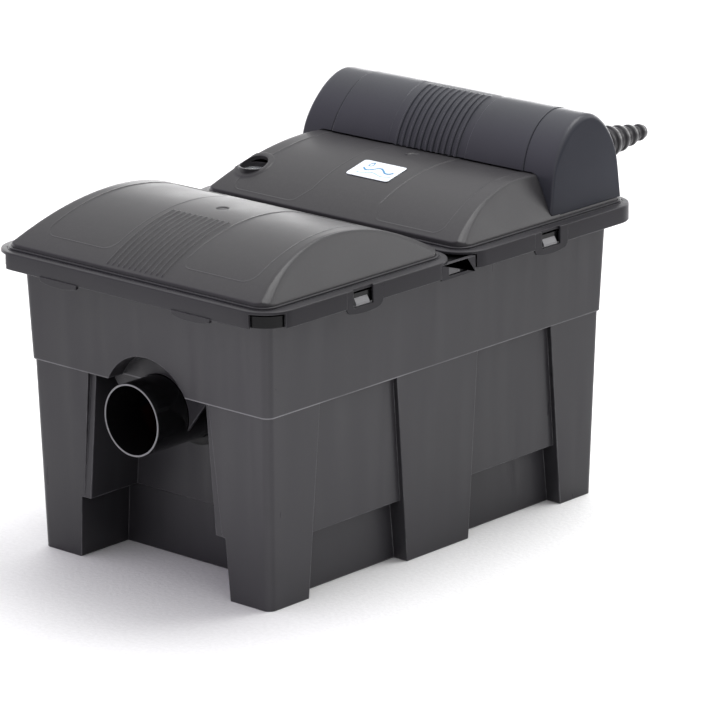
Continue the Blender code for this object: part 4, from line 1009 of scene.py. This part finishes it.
def make_hood():
    # the mouth follows the dome's section with a little slack
    slack = 0.0006
    top = dome_arch(0.160) + slack + 0.0004
    edge = DOME_X + slack
    shoulder = edge - (top - DOME_EDGE) * DOME_LEAN
    right = [(edge, 0.30), (edge, DOME_EDGE), (shoulder + 0.004, top - 0.006),
             (shoulder, top - 0.0015), (shoulder - 0.006, top)]
    mouth = [(-edge, 0.30)] + right + [(-x, z) for x, z in right[:0:-1]]
    slot = [(INLET_X - SLOT_R, 0.31), (INLET_X + SLOT_R, 0.31), (INLET_X + SLOT_R, INLET_Z)]
    slot += [(INLET_X + SLOT_R * math.cos(math.radians(degrees)),
              INLET_Z + SLOT_R * math.sin(math.radians(degrees))) for degrees in range(6, 180, 6)]
    slot += [(INLET_X - SLOT_R, INLET_Z)]
    cable_slot = box((-0.1490, -0.1370), (0.25, 0.29), (0.31, 0.3400))
    hood = cut(hood_outer(), hood_hollow(), prism(mouth, "Y", 0.14, DECK_Y + slack),
               prism(slot, "Y", 0.25, 0.29), cable_slot, solver="MANIFOLD")
    place(hood, "uvc_hood_shell", HOOD, "hood", "uvc_hood", angle=30)


# ------------------------------------------------------------------ tub
PLINTH_Z, PLINTH_X, PLINTH_REAR, BAY_DEPTH = 0.0655, 0.1395, 0.2318, 0.0057
ALCOVE_Y, ARCH_R, ARCH_Y, WEB_T, TUNNEL_R = -0.1850, 0.0600, -0.2360, 0.0032, 0.0490
# recesses in each side wall: y range at the floor, y range at the step
SIDE_BAYS = (((-0.1930, -0.0460), (-0.1800, -0.0660)), ((0.0490, 0.1970), (0.0580, 0.1740)))
# half widths of the recesses in the end walls, at their foot and their top
PANEL_WIDTHS, ALCOVE_WIDTHS, PLINTH_WIDTHS = (0.0960, 0.0830), (0.0868, 0.0755), (0.1050, 0.1000)
# the plate round the outlet pipe: (x, z)
WEB = [(-0.0720, 0.2025), (-0.0690, 0.2009), (-0.0297, 0.1514), (0.0297, 0.1514),
       (0.0690, 0.2009), (0.0720, 0.2025), (0.0450, 0.2140), (0.0330, 0.2180), (0.0180, 0.2245),
       (0, 0.2260), (-0.0180, 0.2245), (-0.0330, 0.2180), (-0.0450, 0.2140)]


# `grow` is the wall thickness when the tub's hollow is made, and 0 for its outside.
def tub_body(grow):
    def ring(half, z):
        return rounded(half[0] - grow, half[1] - grow, TUB_R - grow / 2, z)

    top = RIM_Z1 if grow == 0 else RIM_Z1 + 0.02
    lower = loft([ring(FLOOR_HALF, grow), ring(LOW_HALF, STEP_Z + grow + 0.0005)])
    upper = loft([ring(UP_HALF, STEP_Z + grow), ring(RIM_HALF, top)])
    return join(lower, upper)


def side_bay(side, floor_range, step_range, grow):
    """A recess between two legs: shallow above the plinth line, deeper below it."""
    foot = PLINTH_X - grow
    mid = (FLOOR_HALF[0] + (LOW_HALF[0] - FLOOR_HALF[0]) * (PLINTH_Z / STEP_Z)
           - BAY_DEPTH - grow)
    top = LOW_HALF[0] - BAY_DEPTH - grow
    outline = [(0.2, -0.02), (0.2, STEP_Z + grow), (top, STEP_Z + grow),
               (mid, PLINTH_Z + grow), (foot, PLINTH_Z + grow), (foot, -0.02)]
    return loft([[(side * x, start + (end - start) * z / STEP_Z + shift, z) for x, z in outline]
                 for start, end, shift in zip(floor_range, step_range, (-grow, grow))])


def end_recess(side, heights, widths, depth, grow):
    """A recess in an end wall, reaching in to y = side * depth."""
    y0, y1 = sorted((side * (depth - grow), side * 0.30))
    return loft([[(-half - grow, y0, z), (half + grow, y0, z), (half + grow, y1, z),
                  (-half - grow, y1, z)] for z, half in zip(heights, widths)])


def tub_recesses(grow):
    tools = [side_bay(side, *bay, grow) for side in (-1, 1) for bay in SIDE_BAYS]
    wall, plinth = (PLINTH_Z - 0.0010 - grow, STEP_Z + grow), (-0.02, PLINTH_Z + grow)
    return tools + [
        end_recess(-1, wall, PANEL_WIDTHS, 0.2515, grow),
        end_recess(-1, wall, ALCOVE_WIDTHS, -ALCOVE_Y, grow),
        end_recess(-1, plinth, PLINTH_WIDTHS, -ALCOVE_Y - 0.0025, grow),
        rod("Y", PIPE_AXIS, ARCH_R + grow, -0.30, ARCH_Y + grow, 96),
        rod("Y", PIPE_AXIS, TUNNEL_R + grow, -0.2450, ALCOVE_Y + grow, 72),
        end_recess(1, wall, PANEL_WIDTHS, 0.2495, grow),
        end_recess(1, plinth, PLINTH_WIDTHS, PLINTH_REAR, grow)]


def make_tub():
    tub = cut(tub_body(0.0), *tub_recesses(0.0))
    tub = cut(tub, cut(tub_body(WALL), *tub_recesses(WALL)))
    web = cut(prism(WEB, "Y", ARCH_Y - 0.0003, ARCH_Y - 0.0003 + WEB_T),
              rod("Y", PIPE_AXIS, PIPE_R + 0.0008, -0.25, -0.22, 96))
    tub = join(tub, web)
    # pipe hole, drain hole, and the walls taken off just above the rim flange's underside
    tub = cut(tub, rod("Y", PIPE_AXIS, PIPE_R + 0.0006, -0.1900, -0.1750, 96),
              rod("Y", (0, 0, 0.0330), 0.0128, 0.2200, 0.2400, 48),
              box((-0.25, 0.25), (-0.35, 0.35), (RIM_Z0 + 0.0010, 0.40)))
    bevel_long(clean(tub), 0.0008)
    place(tub, "tub_shell", TUB, "tub", "container", angle=40)


# ------------------------------------------------------------------ rim and its side fittings
CATCH_WEDGE = ((0.1880, 0.3076), (0.1894, 0.3076), (0.1926, 0.3022), (0.1926, 0.3000),
               (0.1880, 0.3000))                                             # x, z
EYE_PLATE = [(-0.0214, 0.3022), (-0.0030, 0.3022), (-0.0062, 0.3126), (-0.0214, 0.3126)]  # y, z


def make_side_fittings(side_name, side):
    """Two catches under the clips, and a bracket with a small plate between them."""
    for key, (y0, y1) in WINDOWS.items():
        catch = prism([(side * x, z) for x, z in CATCH_WEDGE], "Y", y0 + 0.0045, y1 - 0.0050)
        bevel(catch, 0.0003)
        place(catch, "catch_%s_%s" % (key, side_name), CATCH, "tub", angle=30)
    eye = box((side * 0.1875, side * 0.1931), (-0.0321, 0.0189), (0.2978, 0.3141))
    eye = cut(eye, box((side * 0.1899, side * 0.1950), (-0.0213, 0.0063), (0.3012, 0.3135)))
    plate = prism(EYE_PLATE, "X", side * 0.1893, side * 0.1919)
    bevel(clean(eye), 0.0004)
    bevel(plate, 0.0004)
    place(eye, "eye_bracket_" + side_name, FRAME, "tub", angle=30)
    place(plate, "eye_plate_" + side_name, EYE, "tub", angle=30)


def make_rim():
    lip = 0.0026
    rim = block(LIP_X, LIP_Y, LIP_R, (0.3003, RIM_Z1), steps=14)
    rim = cut(rim, block(LIP_X - lip, LIP_Y - lip, LIP_R - lip, (0.29, RIM_Z0), steps=14),
              block(RIM_HALF[0] - WALL, RIM_HALF[1] - WALL, TUB_R - WALL / 2, (0.29, 0.33)))
    rim = join(rim, box((-0.1670, 0.1670), (-0.0100, 0.0100), (0.3020, RIM_Z1)))
    for side_name, side in SIDES[::-1]:
        make_side_fittings(side_name, side)
    place(clean(rim), "tub_rim", RIM, "tub", angle=40)


# ------------------------------------------------------------------ outlet
def pipe_ring(inner, outer, start, end, edge, steps):
    outline = [(inner, start), (outer, start), (outer, end), (inner, end)]
    return turned(soften(outline, edge, steps), "Y", PIPE_AXIS, 128)


def make_outlet():
    tube = pipe_ring(PIPE_R - 0.0022, PIPE_R, PIPE_MOUTH, PIPE_END, edge=0.0008, steps=4)
    place(tube, "outlet_pipe_tube", PIPE, "tub", "outlet_pipe", angle=50)
    # the pipe's mouth ring, painted pale grey as a highlight
    face = pipe_ring(PIPE_R - 0.0020, PIPE_R - 0.0004, PIPE_MOUTH - 0.0002, PIPE_MOUTH + 0.0006,
                     edge=0.0002, steps=3)
    place(face, "outlet_pipe_mouth_highlight", PIPE_MOUTH_HIGHLIGHT, "tub", angle=60)
    dress(RUBBER, 0.0006, "outlet_seal")
    dress(FITTING, 0.0006, "outlet_locknut")


# ------------------------------------------------------------------ hose inlet
TAIL_R, TAIL_STAGE = (0.0166, 0.0139, 0.0112, 0.0086), 0.0172
# one barb: (step out from the stage's radius, place along it)
BARB = ((-0.0006, 0.0), (0.0005, 0.0008), (0.0005, 0.0036), (-0.0006, 0.0052),
        (-0.0013, TAIL_STAGE / 2 - 0.0005))


def make_hose_tail():
    """A stepped tail with two barbs to each stage."""
    start = TAIL_TIP - 4 * TAIL_STAGE
    tail = [(0.0100, 0.2768), (0.0172, 0.2768), (0.0172, 0.3020), (0.0172, start - 0.0080)]
    for k, radius in enumerate(TAIL_R):
        for j in range(2):
            y = start + k * TAIL_STAGE + j * TAIL_STAGE / 2
            tail += [(radius + out, y + along) for out, along in BARB]
    tail += [(TAIL_R[-1] - 0.0012, TAIL_TIP), (0.0060, TAIL_TIP), (0.0060, 0.3860),
             (0.0100, 0.3500)]
    place(turned(soften(tail, 0.0005, 2), "Y", (INLET_X, 0, INLET_Z), 72), "hose_tail", HOSE,
          "rear_cover", "hose_adapter", angle=50)


def make_union_nut():
    y0, y1 = (corner[1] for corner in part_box("hose_union_nut"))
    nut = turned([(0.0178, y0), (0.0225, y0), (0.0235, y0 + 0.0015), (0.0235, y1 - 0.0015),
                  (0.0225, y1), (0.0183, y1)], "Y", (INLET_X, 0, INLET_Z), 90)
    for k in range(10):
        rib = box((-0.0022, 0.0022), (y0 + 0.0030, y1 - 0.0030), (0.0222, 0.0252))
        rib.data.transform(Matrix.Translation((INLET_X, 0, INLET_Z))
                           @ Matrix.Rotation(math.radians(36 * k), 4, "Y"))
        nut = join(nut, rib)
    bevel(clean(nut), 0.0005)
    place(nut, "union_nut_body", FITTING, "union_nut", "hose_union_nut", angle=40)
    dress(RUBBER, 0.0003, "hose_seal_ring")


# ------------------------------------------------------------------ label: plate, waves, drop
PLATE_LOW, PLATE_HIGH = 0.0002, 0.0009           # heights over the arch
INK_LOW, INK_HIGH = 0.00085, 0.00105
# shift in y, line width, wave height, ink, half length
WAVES = ((0.0000, 0.0020, 0.0036, INK, 0.0205), (-0.0085, 0.0011, 0.0018, PALE_INK, 0.0225))
DROP_SIZE = 0.0036


def on_dome(x, y, lift):
    return (x, y, dome_arch(y) + lift)


def dome_patch(ring, centre_x, centre_y):
    """A thin plate over a plan outline, lying on the arch."""
    count = len(ring)
    verts, faces = [], []
    for lift in (PLATE_LOW, PLATE_HIGH):
        for share in (1.0, 0.98, 0.9, 0.75, 0.6, 0.4, 0.2):
            ease = 0.0002 if (share == 1.0 and lift == PLATE_HIGH) else 0.0
            verts += [on_dome(centre_x + (x - centre_x) * share,
                              centre_y + (y - centre_y) * share, lift - ease) for x, y in ring]
        verts.append(on_dome(centre_x, centre_y, lift))
    layer = 7 * count + 1
    for first in (0, layer):
        for j in range(6):
            row, after = first + j * count, first + (j + 1) * count
            for k in range(count):
                on = (k + 1) % count
                faces.append([row + k, row + on, after + on, after + k])
        for k in range(count):
            faces.append([first + 6 * count + k, first + 6 * count + (k + 1) % count,
                          first + 7 * count])
    for k in range(count):
        on = (k + 1) % count
        faces.append([k, on, layer + on, layer + k])
    return solid(verts, faces)


def make_ribbon(name, points, width, mat):
    """A thin printed line that follows the plate."""
    verts, faces = [], []
    last = len(points) - 1
    for i, (x, y) in enumerate(points):
        (x0, y0), (x1, y1) = points[max(i - 1, 0)], points[min(i + 1, last)]
        length = math.hypot(x1 - x0, y1 - y0) or 1
        out_x, out_y = -(y1 - y0) / length * width / 2, (x1 - x0) / length * width / 2
        for lift in (INK_LOW, INK_HIGH):
            verts += [on_dome(x + out_x, y + out_y, lift), on_dome(x - out_x, y - out_y, lift)]
    for i in range(last):
        a, b = i * 4, i * 4 + 4
        faces += [[a, b, b + 1, a + 1], [a + 2, b + 2, b + 3, a + 3],
                  [a, b, b + 2, a + 2], [a + 1, b + 1, b + 3, a + 3]]
    faces += [[i, i + 1, i + 3, i + 2] for i in (0, last * 4)]
    place(solid(verts, faces), name, mat, "rear_cover")


def make_label():
    (x0, y0, _), (x1, y1, _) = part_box("name_label")
    mid_x, mid_y, _ = middle("name_label")
    ring = [(x, y) for x, y, _ in rounded((x1 - x0) / 2, (y1 - y0) / 2, 0.0035, 0,
                                          (mid_x, mid_y), 8)]
    # the plate is drawn in towards the mean of its outline
    centre_x, centre_y = (sum(point[axis] for point in ring) / len(ring) for axis in (0, 1))
    place(dome_patch(ring, centre_x, centre_y), "label_plate_body", PLATE, "rear_cover",
          "name_label", angle=40)
    for j, (shift, width, height, mat, half) in enumerate(WAVES):
        wave = [(mid_x + 0.003 - half + 2 * half * k / 60,
                 mid_y + shift + height * math.sin(3.0 * math.pi * k / 60 + math.pi + 0.6 * j))
                for k in range(61)]
        make_ribbon("label_wave_%d" % (j + 1), wave, width, mat)
    drop = []
    for k in range(41):
        angle = 2 * math.pi * k / 40
        drop.append((mid_x - 0.0130
                     + DROP_SIZE * math.sin(angle) * math.sin(angle / 2) ** 1.2,
                     mid_y + 0.0088 + DROP_SIZE * 1.20 * math.cos(angle)))
    make_ribbon("label_drop", drop, 0.0013, INK)


# ------------------------------------------------------------------ window, float, kept pieces
def make_window():
    radius, low, high = 0.0147, LENS_TOP - 0.0020, LENS_TOP + 0.0020
    cap = [(0, low), (radius, low), (radius, high)]
    for degrees in range(12, 90, 12):
        angle = math.radians(degrees)
        cap.append((radius * math.cos(angle), high + 0.0046 * math.sin(angle)))
    cap += [(0, LENS_TOP + 0.0066)]
    place(turned(cap, "Z", FLOAT_AXIS), "window_lens_disc", CLEAR, "rear_cover",
          "window_lens", angle=40)


def make_float():
    """A thin stem with a wide flat head."""
    low, high = (corner[2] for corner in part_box("level_float"))
    outline = [(0, low), (0.0030, low), (0.0030, high - 0.0042), (0.0112, high - 0.0042),
               (0.0112, high - 0.0004), (0.0085, high + 0.0018), (0, high + 0.0018)]
    place(turned(soften(outline, 0.0006, 3), "Z", FLOAT_AXIS, 48), "level_float_body", WHITE,
          "float", "level_float", angle=40)


def dress_kept_pieces():
    dress(FITTING, 0.0006, "float_guide", "uvc_spout", "uvc_housing", "uvc_end_plug",
          "uvc_lamp_head", "uvc_cradle_left", "uvc_cradle_right", "ballast_box", "drain_spigot",
          "drain_cap")
    dress(RUBBER, 0.0003, "front_lid_seal", "rear_lid_seal", "drain_seal", "sleeve_seal_ring")
    dress(QUARTZ, 0, "quartz_sleeve")
    dress(LAMP, 0.0004, "uvc_lamp")
    dress(GRID, 0.0006, "base_grate", "partition_wall")
    dress(HANDLE, 0.0010, "foam_carrier_front", "foam_carrier_rear", segments=3)
    dress(CABLE, 0.0006, "cable_gland", "mains_plug")


# ------------------------------------------------------------------ lead
LEAD_R = 0.0034


def make_lead():
    """A cable out of the hood's back, bending down to the plug."""
    x = middle("power_cable")[0]
    path = [(0.2466, 0.3300)]                    # y, z
    path += bezier((0.2660, 0.3300), (0.2880, 0.3300), (0.2975, 0.3220), (0.2980, 0.2950), 30)
    path += bezier((0.2980, 0.2950), (0.2990, 0.2650), (0.2975, 0.2500), (0.2975, 0.2098), 20)
    path += [(0.2975, 0.2098)]
    across = Vector((1, 0, 0))
    rings = []
    for i, (y, z) in enumerate(path):
        (y0, z0), (y1, z1) = path[max(i - 1, 0)], path[min(i + 1, len(path) - 1)]
        up = Vector((0, y1 - y0, z1 - z0)).normalized().cross(across).normalized()
        rings.append([tuple(Vector((x, y, z))
                            + LEAD_R * (math.cos(angle) * across + math.sin(angle) * up))
                      for angle in [2 * math.pi * k / 20 for k in range(20)]])
    place(loft(rings), "power_lead", CABLE, "rear_cover", "power_cable", angle=60)


# ------------------------------------------------------------------ foam blocks
FOAM_STEP, FOAM_EDGE, FOAM_HOLE_R = 0.0042, 0.005, 0.0095


def foam_point(point, half, seed):
    """A point on the block's face, moved onto the soft edges and made ragged."""
    core = Vector([max(-reach + FOAM_EDGE, min(reach - FOAM_EDGE, value))
                   for value, reach in zip(point, half)])
    off = (point - core).normalized() * FOAM_EDGE
    point = core + off
    ragged = (noise.noise(point * 140 + Vector((seed, 0, 0))) * 0.0006
              + noise.noise(point * 22 + Vector((0, seed, 0))) * 0.0009)
    return point + off.normalized() * (ragged - 0.0012)


def make_foam(colour, key, mat, seed):
    node = "foam_%s_%s" % (colour, key)
    low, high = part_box(node)
    centre = middle(node)
    half = [(end - start) / 2 for start, end in zip(low, high)]
    counts = [max(2, round(2 * reach / FOAM_STEP)) for reach in half]
    edit = bmesh.new()
    made = {}

    def vert(index):
        if index not in made:
            point = Vector([(2 * i / count - 1) * reach
                            for i, count, reach in zip(index, counts, half)])
            made[index] = edit.verts.new(foam_point(point, half, seed) + Vector(centre))
        return made[index]

    for axis in range(3):
        first, second = [other for other in range(3) if other != axis]
        for end in (0, counts[axis]):
            for i in range(counts[first]):
                for j in range(counts[second]):
                    quad = []
                    for step_i, step_j in ((0, 0), (1, 0), (1, 1), (0, 1)):
                        index = [0, 0, 0]
                        index[axis], index[first], index[second] = end, i + step_i, j + step_j
                        quad.append(vert(tuple(index)))
                    edit.faces.new(quad)
    bmesh.ops.recalc_face_normals(edit, faces=edit.faces)
    mesh = bpy.data.meshes.new("foam")
    edit.to_mesh(mesh)
    edit.free()
    hole = rod("Z", (centre[0], centre[1], 0), FOAM_HOLE_R, low[2] - 0.02, high[2] + 0.02, 32)
    piece = cut(new_object(mesh), hole, solver="MANIFOLD")
    place(piece, node + "_block", mat, key + "_cartridge", node, angle=60)


# ------------------------------------------------------------------ stage, light, camera
def make_floor():
    floor = box((-6, 6), (-6, 6), (-0.02, 0.0))
    floor.name = floor.data.name = "floor"
    floor.data.materials.append(pale_floor())
    floor.location.z = -0.0002


def make_world(scene):
    world = bpy.data.worlds.new("studio")
    scene.world = world
    world.use_nodes = True
    net = Graph(world.node_tree)
    background = net.tree.nodes["Background"]
    view = net.node("ShaderNodeTexCoord").outputs["Generated"]

    def toward(direction, over, to):
        """A level that changes as the view turns to a direction; over: its cosine."""
        cosine = net.dot(view, Vector(direction).normalized())
        return net.span(cosine, over, to, interpolation_type="SMOOTHSTEP")

    up = (0, 0, 1)
    azimuth = math.radians(41.96)
    behind = (-math.sin(azimuth), math.cos(azimuth), 0.10)    # beyond the filter, from the camera
    sky = net.math("MULTIPLY", toward(up, over=(0.0, 0.9), to=(0.42, 0.95)),
                   toward((1.0, 0.35, 0.0), over=(-0.8, 0.6), to=(1.05, 0.92)))
    glow = net.math("MULTIPLY", toward(up, over=(0.09, 0.33), to=(4.4, 0.22)),
                    toward(behind, over=(0.20, 0.85), to=(0.0, 1.0)))
    net.put(background.inputs["Strength"], net.math("ADD", sky, glow))
    # a faint violet from the front left
    tinted = toward((-0.55, -1.0, 0.0), over=(0.1, 0.9), to=(0.0, 1.0))
    net.put(background.inputs["Color"], net.mix(tinted, (1.0, 1.0, 1.0), (0.97, 0.90, 1.06)))


def area_light(scene, name, at, target, size, power):
    data = bpy.data.lights.new(name, "AREA")
    data.shape = "RECTANGLE"
    data.size, data.size_y = size
    data.energy = power
    light = bpy.data.objects.new(name, data)
    scene.collection.objects.link(light)
    light.location = at
    light.rotation_euler = (Vector(target) - Vector(at)).to_track_quat("-Z", "Y").to_euler()
    return light


def make_lights(scene):
    overhead = area_light(scene, "overhead", at=(-0.3, 0.9, 2.6), target=(0, 0, 0.2),
                          size=(2.6, 2.2), power=42)
    overhead.visible_glossy = False
    area_light(scene, "top_softbox", at=(0.35, 0.70, 2.35), target=(0, 0, 0.3),
               size=(1.1, 1.1), power=20)
    area_light(scene, "right_softbox", at=(1.75, 2.45, 1.75), target=(0.05, 0, 0.3),
               size=(1.5, 1.1), power=15)


def make_camera(scene):
    """A long lens from the front right, a little above."""
    azimuth, elevation, roll = (math.radians(angle) for angle in (41.9592, 16.6994, -0.4014))
    back = Vector((math.sin(azimuth) * math.cos(elevation),
                   -math.cos(azimuth) * math.cos(elevation), math.sin(elevation)))
    right = (-back).cross(Vector((0, 0, 1))).normalized()
    up = right.cross(-back)
    rolled_right = right * math.cos(roll) + up * math.sin(roll)
    rolled_up = -right * math.sin(roll) + up * math.cos(roll)
    data = bpy.data.cameras.new("camera")
    data.lens = 235.763
    data.sensor_width = 36
    data.clip_end = 60
    camera = bpy.data.objects.new("camera", data)
    scene.collection.objects.link(camera)
    pose = Matrix((rolled_right, rolled_up, back)).transposed().to_4x4()
    pose.translation = (3.1432, -3.4360, 1.5685)
    camera.matrix_world = pose
    scene.camera = camera


# ------------------------------------------------------------------ build
make_front_dome()
make_rear_dome()
for end_name, end_sign in ENDS:
    make_skirt(end_name, end_sign)
for clip_side, clip_sign in SIDES:
    for end_name, _ in ENDS:
        make_clip(end_name, clip_side, clip_sign)
make_hood()
make_tub()
make_rim()
make_outlet()
make_hose_tail()
make_union_nut()
make_label()
make_window()
make_float()
dress_kept_pieces()
make_lead()
for end_index, (end_name, _) in enumerate(ENDS):
    make_foam("blue", end_name, BLUE, seed=3.1 + end_index)
    make_foam("red", end_name, RED, seed=7.7 + end_index)

make_floor()
stage_scene = bpy.context.scene
stage_scene.view_settings.view_transform = "Standard"
make_world(stage_scene)
make_lights(stage_scene)
make_camera(stage_scene)
